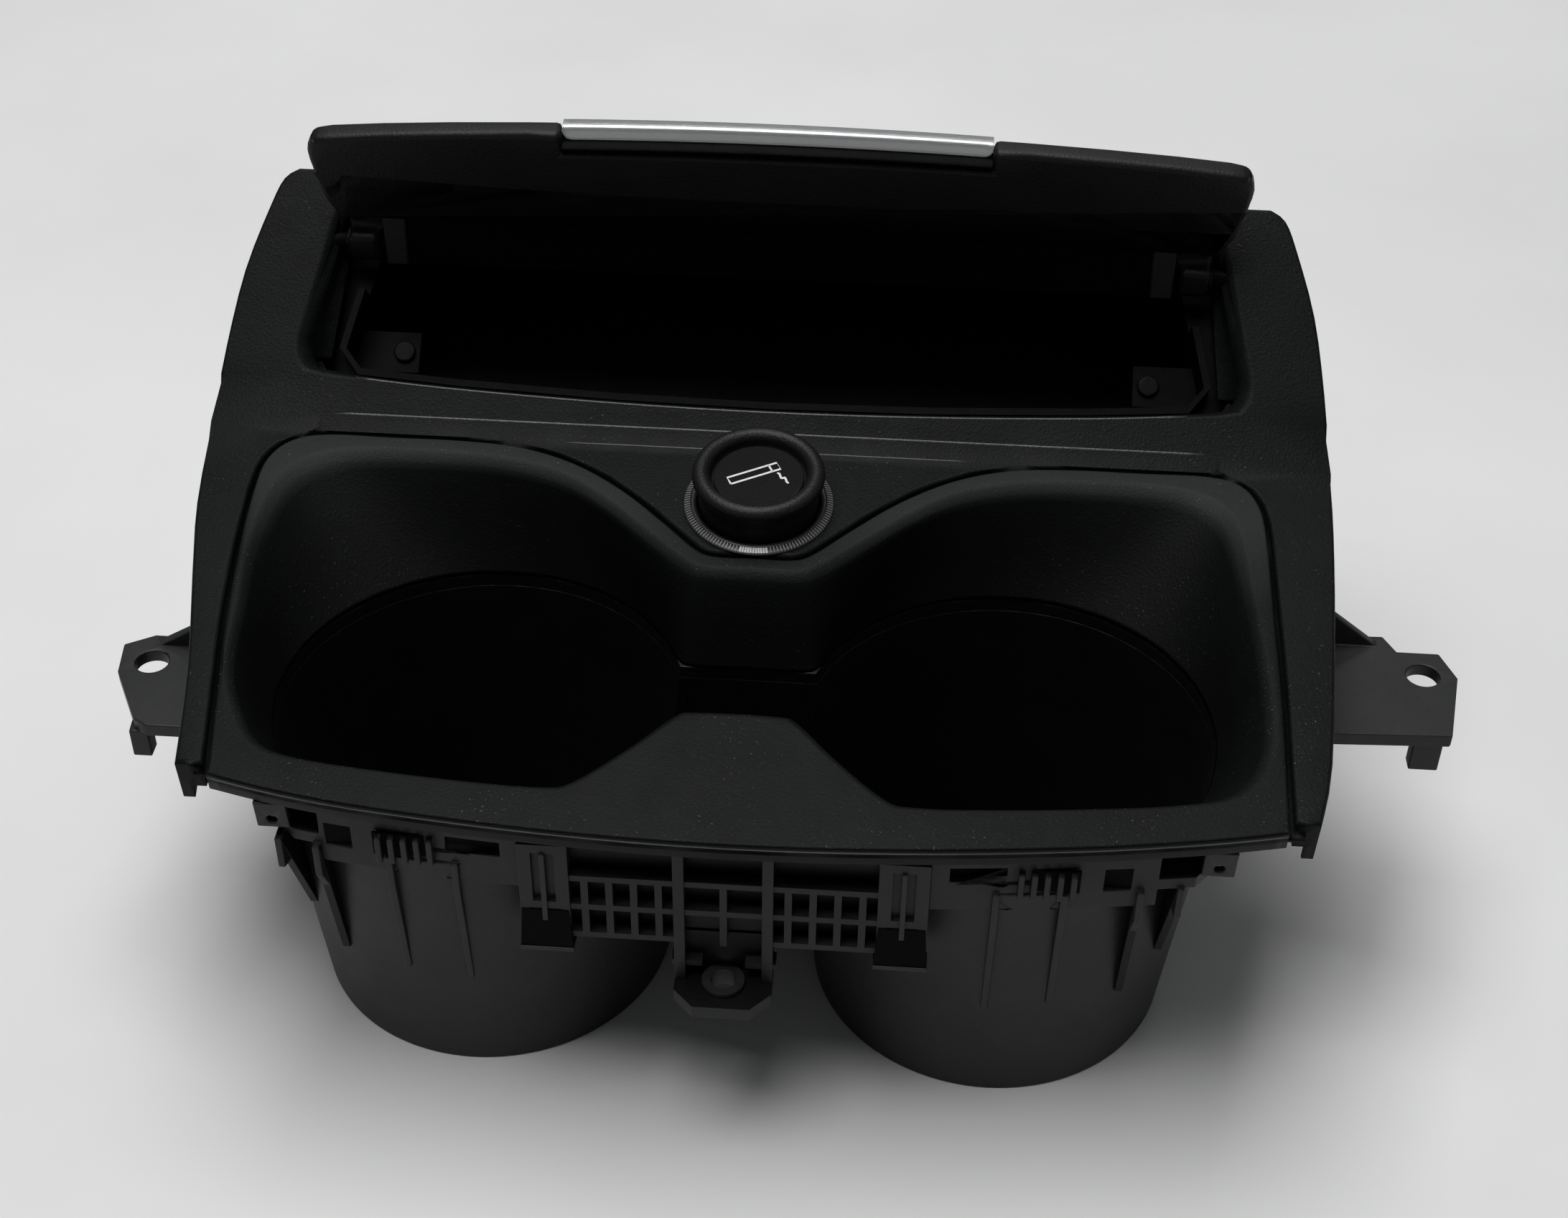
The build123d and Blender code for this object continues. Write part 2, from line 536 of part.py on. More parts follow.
with BuildPart() as deck:
    with BuildSketch(SEAT):
        with BuildLine():
            Polyline(*FRONT_WALL[3:-3], (-86.0, -20.0), (-89.0, 30.0), (-84.0, 44.0), (-38.0, 44.0),
                     (-POST_X - 6.0, POST_Y + 5.0), (POST_X + 6.0, POST_Y + 5.0), (38.0, 44.0), (84.0, 44.0),
                     (90.0, 30.0), (88.0, -20.0), close=True)
        make_face()
    extrude(amount=-DECK_T)
    with BuildSketch(Plane(origin=at(0, 0, APRON_LOW))):
        with BuildLine():
            Polyline(*FRONT_WALL[4:-4], *BACK_WALL[4:-4][::-1], close=True)
        make_face()
    extrude(amount=APRON_TOP - APRON_LOW)
    for side in (-1, 1):
        for x, low, reach in zip(RIB_AT, RIB_LOW, RIB_REACH):
            inset = (x - WELL_HALF_PITCH) ** 2
            low_y = -math.sqrt((WELL_BASE_R + WELL_WALL + WELL_TAPER * low) ** 2 - inset)
            with BuildSketch(SIDE.offset(side * x - RIB_T / 2)):
                with BuildLine():
                    Polyline((low_y + 4.0, DECK_LOW + 0.4), (-reach, DECK_LOW + 0.4), (-reach, RIB_TOP - 4.0),
                             (low_y - 0.3, low), (low_y + 4.0, low), close=True)
                make_face()
            extrude(amount=RIB_T)
        with Locations(at(side * WELL_HALF_PITCH, 0, DECK_LOW / 2)):
            Cone(WELL_BASE_R + WELL_WALL, OUTER_TOP_R, DECK_LOW, mode=Mode.SUBTRACT)
        with Locations(at(side * WELL_HALF_PITCH, 0, DECK_LOW + DECK_T / 2)):
            Cone(INNER_TOP_R, WELL_MOUTH_R, DECK_T, mode=Mode.SUBTRACT)
        block(side * 61.5, side * 66.0, -45, -34.5, 54.8, 59.6, Mode.SUBTRACT)
        block(side * 36.5, side * 45.5, -45, -36.5, 57.4, 60.4, Mode.SUBTRACT)
        for k in range(5):
            x = side * (48.0 + 2.1 * k)
            block(x - 0.5, x + 0.5, COMB_Y, COMB_Y + 2.4, DECK_LOW, 60.0)
        with Locations(at(side * POST_X, POST_Y, SEAT_Z)):
            Cylinder(TRIM_SCREW_R + SCREW_CLEAR, 3 * DECK_T, mode=Mode.SUBTRACT)
    block(-BRACKET_HALF, BRACKET_HALF, -60, -34.5, APRON_LOW - 5, APRON_TOP + 5, Mode.SUBTRACT)
    block(-NECK_HALF, NECK_HALF, NECK_FRONT, NECK_BACK, DECK_LOW - 5, SEAT_Z + 5, Mode.SUBTRACT)
    with BuildSketch(LIGHTER):
        Circle(RING_NECK_R + SOCKET_CLEAR)
    extrude(amount=-60, mode=Mode.SUBTRACT)
    with BuildSketch(FRONT):
        with BuildLine():
            Polyline(*shift(UPPER, LINER_WALL + SEAT_CLEAR, True), close=True)
        make_face()
    with BuildSketch(SEAT):
        with BuildLine():
            Polyline(*shift(LOWER, LINER_WALL + SEAT_CLEAR, True), close=True)
        make_face()
    loft(ruled=True, mode=Mode.SUBTRACT)

# Tapered wells under the deck, open to the neck between them
with BuildPart() as well_left:
    with Locations(at(-WELL_HALF_PITCH, 0, DECK_LOW / 2)):
        Cone(WELL_BASE_R + WELL_WALL, OUTER_TOP_R, DECK_LOW)
    with Locations(at(-WELL_HALF_PITCH, 0, (WELL_FLOOR + DECK_LOW) / 2)):
        Cone(WELL_BASE_R, INNER_TOP_R, DECK_LOW - WELL_FLOOR, mode=Mode.SUBTRACT)
    block(-NECK_HALF, NECK_HALF, NECK_FRONT, NECK_BACK, NECK_FLOOR, SEAT_Z, Mode.SUBTRACT)
with BuildPart() as well_right:
    with Locations(at(WELL_HALF_PITCH, 0, DECK_LOW / 2)):
        Cone(WELL_BASE_R + WELL_WALL, OUTER_TOP_R, DECK_LOW)
    with Locations(at(WELL_HALF_PITCH, 0, (WELL_FLOOR + DECK_LOW) / 2)):
        Cone(WELL_BASE_R, INNER_TOP_R, DECK_LOW - WELL_FLOOR, mode=Mode.SUBTRACT)
    block(-NECK_HALF, NECK_HALF, NECK_FRONT, NECK_BACK, NECK_FLOOR, SEAT_Z, Mode.SUBTRACT)
with BuildPart() as well_neck:
    block(-NECK_HALF, NECK_HALF, NECK_FRONT - WELL_WALL, NECK_BACK + WELL_WALL,
          NECK_FLOOR - WELL_WALL, DECK_LOW)
    block(-NECK_HALF, NECK_HALF, NECK_FRONT, NECK_BACK, NECK_FLOOR, SEAT_Z, Mode.SUBTRACT)
    for side in (-1, 1):
        with Locations(at(side * WELL_HALF_PITCH, 0, DECK_LOW / 2)):
            Cone(WELL_BASE_R + WELL_WALL, OUTER_TOP_R, DECK_LOW, mode=Mode.SUBTRACT)
    with BuildSketch(LIGHTER):
        Circle(RING_NECK_R + SOCKET_CLEAR)
    extrude(amount=-60, mode=Mode.SUBTRACT)

# Round mats in the bottoms of the wells
MAT_R = WELL_BASE_R - MAT_CLEAR
with BuildPart() as mat_left:
    with Locations(at(-WELL_HALF_PITCH, 0, WELL_FLOOR + MAT_T / 2)):
        Cylinder(MAT_R, MAT_T)
    for r in (20.0,):
        with BuildSketch(Plane(origin=at(-WELL_HALF_PITCH, 0, WELL_FLOOR + MAT_T))):
            Circle(r + 1.0)
            Circle(r - 1.0, mode=Mode.SUBTRACT)
        extrude(amount=-0.7, mode=Mode.SUBTRACT)
with BuildPart() as mat_right:
    with Locations(at(WELL_HALF_PITCH, 0, WELL_FLOOR + MAT_T / 2)):
        Cylinder(MAT_R, MAT_T)
    for r in (20.0,):
        with BuildSketch(Plane(origin=at(WELL_HALF_PITCH, 0, WELL_FLOOR + MAT_T))):
            Circle(r + 1.0)
            Circle(r - 1.0, mode=Mode.SUBTRACT)
        extrude(amount=-0.7, mode=Mode.SUBTRACT)

# Front bracket: guide posts, rib grids, middle channel and the screw foot
GRID_IN = CHANNEL_HALF
CHANNEL_IN = CHANNEL_HALF - CHANNEL_WALL
GRID_OUT = BRACKET_HALF - POST_W
BACK_Y = BRACKET_Y + BRACKET_D
with BuildPart() as front_bracket:
    for side in (-1, 1):
        block(side * GRID_OUT, side * BRACKET_HALF, BRACKET_Y, BACK_Y, 47.8, APRON_TOP - 0.2)
        block(side * GRID_OUT, side * (GRID_OUT + 1.4), BRACKET_Y, BACK_Y, 38.6, 47.8)
        block(side * (BRACKET_HALF - 1.4), side * BRACKET_HALF, BRACKET_Y, BACK_Y, 38.6, 47.8)
        block(side * (GRID_OUT + POST_W / 2 - 0.6), side * (GRID_OUT + POST_W / 2 + 0.6), BRACKET_Y + 1.2,
              BACK_Y, 38.6, 47.8)
        block(side * (GRID_OUT + 2.2), side * (BRACKET_HALF - 2.2), BRACKET_Y - 1, BRACKET_Y + 1.0,
              49.4, APRON_TOP - 2.0, Mode.SUBTRACT)
        for z in (GRID_TOP, GRID_MID, GRID_LOW):
            block(side * CHANNEL_IN, side * (GRID_OUT + 0.5), BRACKET_Y + 0.5, BACK_Y - 0.5,
                  z - GRID_BAR / 2, z + GRID_BAR / 2)
        for k in range(4):
            x = GRID_IN + (GRID_OUT - GRID_IN) * (k + 0.6) / 4.2
            block(side * (x - GRID_BAR / 2), side * (x + GRID_BAR / 2), BRACKET_Y + 0.5, BACK_Y - 0.5,
                  GRID_LOW, GRID_TOP)
        block(side * CHANNEL_IN, side * GRID_IN, BRACKET_Y, BACK_Y, FOOT_Z, APRON_TOP - 0.2)
        block(side * 3.6, side * (CHANNEL_HALF + 0.5), BRACKET_Y + 0.6, BACK_Y - 0.4, 35.4, 36.6)
    block(-GRID_IN, GRID_IN, BACK_Y - 1.2, BACK_Y, FOOT_Z, GRID_LOW)
    block(-BRACKET_HALF, BRACKET_HALF, BACK_Y - BACK_T, BACK_Y, GRID_LOW - GRID_BAR / 2, APRON_TOP - 0.2)
    block(-BRACKET_HALF, BRACKET_HALF, BACK_Y - 1.4, BACK_Y, APRON_TOP - 2.4, APRON_TOP - 0.2)
    block(-CHANNEL_HALF - 0.5, CHANNEL_HALF + 0.5, BRACKET_Y + 0.5, BACK_Y - 0.5,
          GRID_TOP - GRID_BAR / 2, GRID_TOP + GRID_BAR / 2)
    block(-CHANNEL_HALF - 0.5, CHANNEL_HALF + 0.5, BRACKET_Y + 0.5, BACK_Y - 0.5,
          GRID_MID - GRID_BAR / 2, GRID_MID + GRID_BAR / 2)
    block(-GRID_BAR / 2, GRID_BAR / 2, BRACKET_Y + 0.5, BACK_Y - 0.5, GRID_LOW - 1.0, GRID_TOP)
    with BuildSketch(Plane(origin=at(0, 0, FOOT_Z))):
        with BuildLine():
            Polyline((-GRID_IN, BACK_Y), (-GRID_IN, FOOT_FRONT + 3.6), (-GRID_IN + 3.4, FOOT_FRONT),
                     (GRID_IN - 3.4, FOOT_FRONT), (GRID_IN, FOOT_FRONT + 3.6), (GRID_IN, BACK_Y), close=True)
        make_face()
    extrude(amount=FOOT_T)
    with Locations(at(0, FOOT_HOLE_Y, FOOT_Z + FOOT_T + FOOT_RING_H / 2)):
        Cylinder(FOOT_RING_R, FOOT_RING_H)
    with Locations(at(0, FOOT_HOLE_Y, FOOT_Z + 2)):
        Cylinder(FOOT_HOLE_R, 12, mode=Mode.SUBTRACT)

# Side tabs with screw holes, under the deck
TAB_TOP = SEAT_Z - DECK_T
with BuildPart() as tab_left:
    with BuildSketch(Plane(origin=at(0, 0, TAB_TOP))):
        with BuildLine():
            Polyline((-86.0, 16.0), (LEFT_TIP + 5.0, 16.0), (LEFT_TIP, 13.0), (LEFT_TIP + 1.0, 5.6),
                     (LEFT_TIP + 7.6, -7.0), (LEFT_TIP + 10.0, -8.4), (-86.0, -8.4), close=True)
        make_face()
        with Locations((LEFT_HOLE_X, LEFT_HOLE_Y)):
            Circle(TAB_HOLE_R, mode=Mode.SUBTRACT)
    extrude(amount=-TAB_T)
    with BuildSketch(Plane(origin=at(0, 15.0, 0), x_dir=(1, 0, 0), z_dir=(0, -1, 0))):
        with BuildLine():
            Polyline((LEFT_TIP + 6.0, TAB_TOP - 0.5), (-90.6, TAB_TOP - 0.5), (-90.6, TAB_TOP + 6.5),
                     (-97.0, TAB_TOP + 6.5), close=True)
        make_face()
    extrude(amount=1.8)
    block(LEFT_TIP + 6.4, LEFT_TIP + 9.8, -7.6, -4.4, TAB_TOP - TAB_T - 5.6, TAB_TOP - TAB_T + 0.2)
with BuildPart() as tab_right:
    with BuildSketch(Plane(origin=at(0, 0, TAB_TOP))):
        with BuildLine():
            Polyline((86.0, 33.0), (RIGHT_TIP - 12.0, 33.8), (RIGHT_TIP - 10.0, 29.6),
                     (RIGHT_TIP - 2.4, 29.6),
                     (RIGHT_TIP, 23.0), (RIGHT_TIP - 3.4, 7.0), (86.0, 5.2), close=True)
        make_face()
        with Locations((RIGHT_HOLE_X, RIGHT_HOLE_Y)):
            Circle(TAB_HOLE_R, mode=Mode.SUBTRACT)
    extrude(amount=-TAB_T)
    with BuildSketch(Plane(origin=at(0, 32.6, 0), x_dir=(1, 0, 0), z_dir=(0, -1, 0))):
        with BuildLine():
            Polyline((RIGHT_TIP - 13.0, TAB_TOP - 0.5), (91.6, TAB_TOP - 0.5), (91.6, TAB_TOP + 6.5),
                     (RIGHT_TIP - 22.0, TAB_TOP + 6.5), close=True)
        make_face()
    extrude(amount=1.8)
    block(RIGHT_TIP - 9.6, RIGHT_TIP - 4.4, 7.6, 10.6, TAB_TOP - TAB_T - 6.4, TAB_TOP - TAB_T + 0.2)

# Rear legs: a plate from the deck to the bench with a pad at each end
with BuildPart() as leg_left:
    with BuildSketch(SIDE.offset(-LEG_X - LEG_T / 2)):
        with BuildLine():
            Polyline((LEG_TOP_FRONT, TAB_TOP), (LEG_TOP_FRONT, TAB_TOP - LEG_PAD_T), (LEG_HEEL, LEG_PAD_T),
                     (LEG_HEEL, 0), (LEG_TOE, 0), (LEG_TOE, LEG_PAD_T), (LEG_TOP_REAR, TAB_TOP - LEG_PAD_T),
                     (LEG_TOP_REAR, TAB_TOP), close=True)
        make_face()
    extrude(amount=LEG_T)
    block(-LEG_X - LEG_PAD_W / 2, -LEG_X + LEG_PAD_W / 2, LEG_HEEL, LEG_TOE, 0, LEG_PAD_T)
    block(-LEG_X - LEG_PAD_W / 2, -LEG_X + LEG_PAD_W / 2, LEG_TOP_FRONT, LEG_TOP_REAR,
          TAB_TOP - LEG_PAD_T, TAB_TOP)
with BuildPart() as leg_right:
    with BuildSketch(SIDE.offset(LEG_X - LEG_T / 2)):
        with BuildLine():
            Polyline((LEG_TOP_FRONT, TAB_TOP), (LEG_TOP_FRONT, TAB_TOP - LEG_PAD_T), (LEG_HEEL, LEG_PAD_T),
                     (LEG_HEEL, 0), (LEG_TOE, 0), (LEG_TOE, LEG_PAD_T), (LEG_TOP_REAR, TAB_TOP - LEG_PAD_T),
                     (LEG_TOP_REAR, TAB_TOP), close=True)
        make_face()
    extrude(amount=LEG_T)
    block(LEG_X - LEG_PAD_W / 2, LEG_X + LEG_PAD_W / 2, LEG_HEEL, LEG_TOE, 0, LEG_PAD_T)
    block(LEG_X - LEG_PAD_W / 2, LEG_X + LEG_PAD_W / 2, LEG_TOP_FRONT, LEG_TOP_REAR,
          TAB_TOP - LEG_PAD_T, TAB_TOP)

# Clip tabs under the ends of the front rim
CLIP_LEFT_X = -74.6
CLIP_LEFT_V = -35.1
CLIP_RIGHT_X = 79.8
CLIP_RIGHT_V = -34.5
CLIP_W = 5.4
CLIP_T = 1.5
CLIP_L = 6.0
with BuildPart() as clip_left:
    with BuildSketch(FRONT.offset(-RIM_SKIRT_H)):
        with Locations((CLIP_LEFT_X, CLIP_LEFT_V)):
            Rectangle(CLIP_W, CLIP_T)
    extrude(amount=-CLIP_L)
    with Locations(FRONT.offset(-RIM_SKIRT_H - 4.0) * Location((CLIP_LEFT_X, CLIP_LEFT_V, 0), (90, 0, 0))):
        Cylinder(0.9, 10, mode=Mode.SUBTRACT)
with BuildPart() as clip_right:
    with BuildSketch(FRONT.offset(-RIM_SKIRT_H)):
        with Locations((CLIP_RIGHT_X, CLIP_RIGHT_V)):
            Rectangle(CLIP_W, CLIP_T)
    extrude(amount=-CLIP_L)
    with Locations(FRONT.offset(-RIM_SKIRT_H - 4.0) * Location((CLIP_RIGHT_X, CLIP_RIGHT_V, 0), (90, 0, 0))):
        Cylinder(0.9, 10, mode=Mode.SUBTRACT)

# Storage bin under the lid opening
SCREW_X = OPEN_HALF_FRONT - BIN_LEDGE - PAD_W + 3.4
with BuildPart() as storage_bin:
    with BuildSketch(REAR.offset(-COLLAR_H)):
        with BuildLine():
            Polyline(*shift(OPENING, -COLLAR_T, True), close=True)
        make_face()
    extrude(amount=-BIN_FLANGE_T)
    with BuildSketch(REAR.offset(-COLLAR_H)):
        with BuildLine():
            Polyline(*shift(BIN_EDGE, -BIN_WALL, True), close=True)
        make_face()
    extrude(amount=-BIN_DEPTH - BIN_WALL)
    with BuildSketch(REAR.offset(-COLLAR_H)):
        with BuildLine():
            Polyline(*BIN_EDGE, close=True)
        make_face()
    extrude(amount=-BIN_DEPTH, mode=Mode.SUBTRACT)
    with BuildSketch(REAR.offset(-COLLAR_H)):
        with BuildLine():
            Polyline(*shift(BIN_EDGE, -BIN_LIP_T, True), close=True)
        make_face()
        with BuildLine():
            Polyline(*BIN_EDGE, close=True)
        make_face(mode=Mode.SUBTRACT)
        with Locations((0, BIN_LIP_END + 20)):
            Rectangle(300, 40, mode=Mode.SUBTRACT)
    extrude(amount=BIN_LIP_H)
    for side in (-1, 1):
        with BuildSketch(REAR.offset(-COLLAR_H - PAD_DROP)):
            with Locations((side * (OPEN_HALF_FRONT - BIN_LEDGE - PAD_W / 2 + 0.5), PAD_V)):
                Rectangle(PAD_W, PAD_L)
        extrude(amount=-4.0)
        with BuildSketch(REAR.offset(-COLLAR_H - PAD_DROP)):
            with Locations((side * SCREW_X, PAD_V)):
                Circle(SCREW_R + SCREW_CLEAR)
        extrude(amount=-4.0, mode=Mode.SUBTRACT)

# Lid, modelled open: shell with a deep front lip, inner pan, bright handle, two hinge pins
LIP_HALF = LID_HALF - LID_RIM - 0.2
LIP_LINE = [(LIP_HALF * k / 6, LIP_MIDDLE - (LIP_MIDDLE - LIP_ENDS) * (k / 6) ** 2) for k in range(-6, 7)]
PAN_BOW = (LIP_MIDDLE - LIP_ENDS) * (PAN_HALF / LIP_HALF) ** 2
PAN_LINE = [(PAN_HALF * k / 6, LIP_MIDDLE - PAN_BOW * (k / 6) ** 2 + PAN_CLEAR) for k in range(-6, 7)]
LID_FRONT = [p for p in LID_EDGE if p[1] < LIP_ENDS]


def lid_front(x):
    """Lid's front edge at a distance from the middle."""
    for (x0, v0), (x1, v1) in zip(LID_FRONT, LID_FRONT[1:]):
        if x0 <= x <= x1:
            return v0 + (v1 - v0) * (x - x0) / (x1 - x0)
    return LIP_ENDS


HANDLE_LINE = [(x, lid_front(x)) for x in (-HANDLE_HALF, -30.0, -15.0, 0.0, 15.0, 30.0, HANDLE_HALF)]
with BuildPart() as lid_shell:
    with BuildSketch(LID):
        with BuildLine():
            Polyline(*LID_EDGE, close=True)
        make_face()
    extrude(amount=-LID_T)
    with BuildSketch(LID):
        with BuildLine():
            Polyline(*LID_EDGE, close=True)
        make_face()
        with BuildLine():
            Polyline(*LIP_LINE, (LID_SIDE - LID_RIM, LID_RIM_END), (LID_SIDE - LID_RIM, 60),
                     (-LID_SIDE + LID_RIM, 60), (-LID_SIDE + LID_RIM, LID_RIM_END), close=True)
        make_face(mode=Mode.SUBTRACT)
        with Locations((0, LID_RIM_END + 20)):
            Rectangle(300, 40, mode=Mode.SUBTRACT)
    extrude(amount=-LID_RIM_H)
    with BuildSketch(LID):
        with Locations((-LID_SIDE + BOSS_W / 2, HINGE_V), (LID_SIDE - BOSS_W / 2, HINGE_V)):
            Rectangle(BOSS_W, BOSS_L)
    extrude(amount=-HINGE_DEPTH - PIN_R - 0.9)
    for side in (-1, 1):
        with Locations(Location(at(side * LID_SIDE, HINGE_Y, HINGE_Z), (0, 90, 0))):
            Cylinder(PIN_R, 2 * PIN_IN, mode=Mode.SUBTRACT)
    with BuildSketch(LID.offset(3)):
        with BuildLine():
            Polyline(*[(x, v + HANDLE_L) for x, v in HANDLE_LINE], (HANDLE_HALF, 0), (-HANDLE_HALF, 0),
                     close=True)
        make_face()
    extrude(amount=-10, mode=Mode.SUBTRACT)
with BuildPart() as lid_pan:
    with BuildSketch(LID.offset(-LID_T)):
        with BuildLine():
            Polyline(*PAN_LINE, (PAN_HALF, PAN_REAR), (-PAN_HALF, PAN_REAR), close=True)
        make_face()
    extrude(amount=-PAN_T)
with BuildPart() as lid_handle:
    with BuildSketch(LID.offset(HANDLE_RISE)):
        with BuildLine():
            Polyline(*HANDLE_LINE, *[(x, v + HANDLE_L) for x, v in HANDLE_LINE[::-1]], close=True)
        make_face()
    extrude(amount=-LID_RIM_H - 2 * HANDLE_RISE)
with BuildPart() as pin_left:
    with Locations(Location(at(-LID_SIDE + PIN_IN / 2 - PIN_OUT / 2, HINGE_Y, HINGE_Z), (0, 90, 0))):
        Cylinder(PIN_R, PIN_IN + PIN_OUT)
with BuildPart() as pin_right:
    with Locations(Location(at(LID_SIDE - PIN_IN / 2 + PIN_OUT / 2, HINGE_Y, HINGE_Z), (0, 90, 0))):
        Cylinder(PIN_R, PIN_IN + PIN_OUT)

# Screws that hold the bin's corner pads, and the trim's posts from under the deck
with BuildPart() as bin_screw_left:
    with BuildSketch(REAR.offset(-COLLAR_H - PAD_DROP)):
        with Locations((-SCREW_X, PAD_V)):
            Circle(SCREW_HEAD_R)
    extrude(amount=SCREW_HEAD_T)
    with BuildSketch(REAR.offset(-COLLAR_H - PAD_DROP)):
        with Locations((-SCREW_X, PAD_V)):
            Circle(SCREW_R)
    extrude(amount=-SCREW_L)
with BuildPart() as bin_screw_right:
    with BuildSketch(REAR.offset(-COLLAR_H - PAD_DROP)):
        with Locations((SCREW_X, PAD_V)):
            Circle(SCREW_HEAD_R)
    extrude(amount=SCREW_HEAD_T)
    with BuildSketch(REAR.offset(-COLLAR_H - PAD_DROP)):
        with Locations((SCREW_X, PAD_V)):
            Circle(SCREW_R)
    extrude(amount=-SCREW_L)
with BuildPart() as trim_screw_left:
    with Locations(at(-POST_X, POST_Y, SEAT_Z - DECK_T - TRIM_HEAD_T / 2)):
        Cylinder(TRIM_HEAD_R, TRIM_HEAD_T)
    with Locations(at(-POST_X, POST_Y, SEAT_Z - DECK_T + (TRIM_SCREW_L - 0.5) / 2)):
        Cylinder(TRIM_SCREW_R, TRIM_SCREW_L - 0.5)
with BuildPart() as trim_screw_right:
    with Locations(at(POST_X, POST_Y, SEAT_Z - DECK_T - TRIM_HEAD_T / 2)):
        Cylinder(TRIM_HEAD_R, TRIM_HEAD_T)
    with Locations(at(POST_X, POST_Y, SEAT_Z - DECK_T + (TRIM_SCREW_L - 0.5) / 2)):
        Cylinder(TRIM_SCREW_R, TRIM_SCREW_L - 0.5)

# Lighter: ring in the trim, socket below it with its contact, plug with a sprung knob
SOCKET_LOW = -RING_DROP - SOCKET_LENGTH
SLEEVE_LOW = SLEEVE_TOP - SLEEVE_LENGTH
with BuildPart() as light_ring:
    with BuildSketch(LIGHTER):
        Circle(RING_R)
    extrude(amount=RING_T)
    with BuildSketch(LIGHTER):
        Circle(RING_NECK_R)
    extrude(amount=-RING_DROP)
    with BuildSketch(LIGHTER.offset(RING_T)):
        Circle(RING_BORE_R)
    extrude(amount=-RING_T - RING_DROP, mode=Mode.SUBTRACT)
with BuildPart() as lighter_socket:
    with BuildSketch(LIGHTER.offset(-RING_DROP)):
        Circle(RING_NECK_R)
    extrude(amount=-2.0)
    with BuildSketch(LIGHTER.offset(-RING_DROP)):
        Circle(SOCKET_BORE_R + SOCKET_WALL)
    extrude(amount=-SOCKET_LENGTH)
    with BuildSketch(LIGHTER.offset(-RING_DROP)):
        Circle(SOCKET_BORE_R)
    extrude(amount=-SOCKET_LENGTH + SOCKET_FLOOR, mode=Mode.SUBTRACT)
    with BuildSketch(LIGHTER.offset(SOCKET_LOW)):
        Circle(STUD_R + SCREW_CLEAR)
    extrude(amount=SOCKET_FLOOR, mode=Mode.SUBTRACT)
with BuildPart() as socket_contact:
    with BuildSketch(LIGHTER.offset(SOCKET_LOW + SOCKET_FLOOR)):
        Circle(STUD_HEAD_R)
    extrude(amount=1.2)
    with BuildSketch(LIGHTER.offset(SOCKET_LOW + SOCKET_FLOOR)):
        Circle(STUD_R)
    extrude(amount=-SOCKET_FLOOR - 5.0)
with BuildPart() as socket_terminal:
    with BuildSketch(LIGHTER.offset(SOCKET_LOW)):
        with Locations((0, 7.2)):
            Rectangle(BLADE_W, BLADE_T)
    extrude(amount=-BLADE_L)
    with Locations(LIGHTER.offset(SOCKET_LOW - BLADE_L + 2.6) * Location((0, 7.2, 0), (90, 0, 0))):
        Cylinder(0.9, 4, mode=Mode.SUBTRACT)
with BuildPart() as lighter_sleeve:
    with BuildSketch(LIGHTER.offset(SLEEVE_TOP)):
        Circle(SLEEVE_R)
    extrude(amount=-SLEEVE_LENGTH)
    with BuildSketch(LIGHTER.offset(SLEEVE_TOP)):
        Circle(SLEEVE_R - SLEEVE_WALL)
    extrude(amount=-SLEEVE_LENGTH + 1.0, mode=Mode.SUBTRACT)
with BuildPart() as lighter_heater:
    with BuildSketch(LIGHTER.offset(SLEEVE_LOW)):
        Circle(HEATER_R)
    extrude(amount=-HEATER_LENGTH)
    with BuildSketch(LIGHTER.offset(SLEEVE_LOW - HEATER_LENGTH)):
        Circle(HEATER_R - 0.7)
    extrude(amount=HEATER_LENGTH - 1.6, mode=Mode.SUBTRACT)
KNOB_RIM = [(KNOB_R - KNOB_TUBE_R + KNOB_TUBE_R * cos(a), KNOB_RIM_Z + KNOB_TUBE_R * sin(a))
            for a in (-55, -20, 15, 50, 85, 120, 155, 190, 225)]
with BuildPart() as lighter_knob:
    with BuildSketch(AXIAL):
        with BuildLine():
            Polyline((0, KNOB_SKIRT_LOW - STEM_LENGTH), (KNOB_STEM_R, KNOB_SKIRT_LOW - STEM_LENGTH),
                     (KNOB_STEM_R, KNOB_SKIRT_LOW), (KNOB_SKIRT_R, KNOB_SKIRT_LOW),
                     (KNOB_SKIRT_R, KNOB_TOP_Z - 0.4),
                     *KNOB_RIM, (KNOB_DISC_R + 0.4, KNOB_TOP_Z), (0, KNOB_TOP_Z), close=True)
        make_face()
    revolve(axis=Axis(AXIAL.origin, AXIAL.y_dir))
with BuildPart() as knob_disc:
    with BuildSketch(LIGHTER.offset(KNOB_TOP_Z)):
        Circle(KNOB_DISC_R)
    extrude(amount=KNOB_DISC_T)

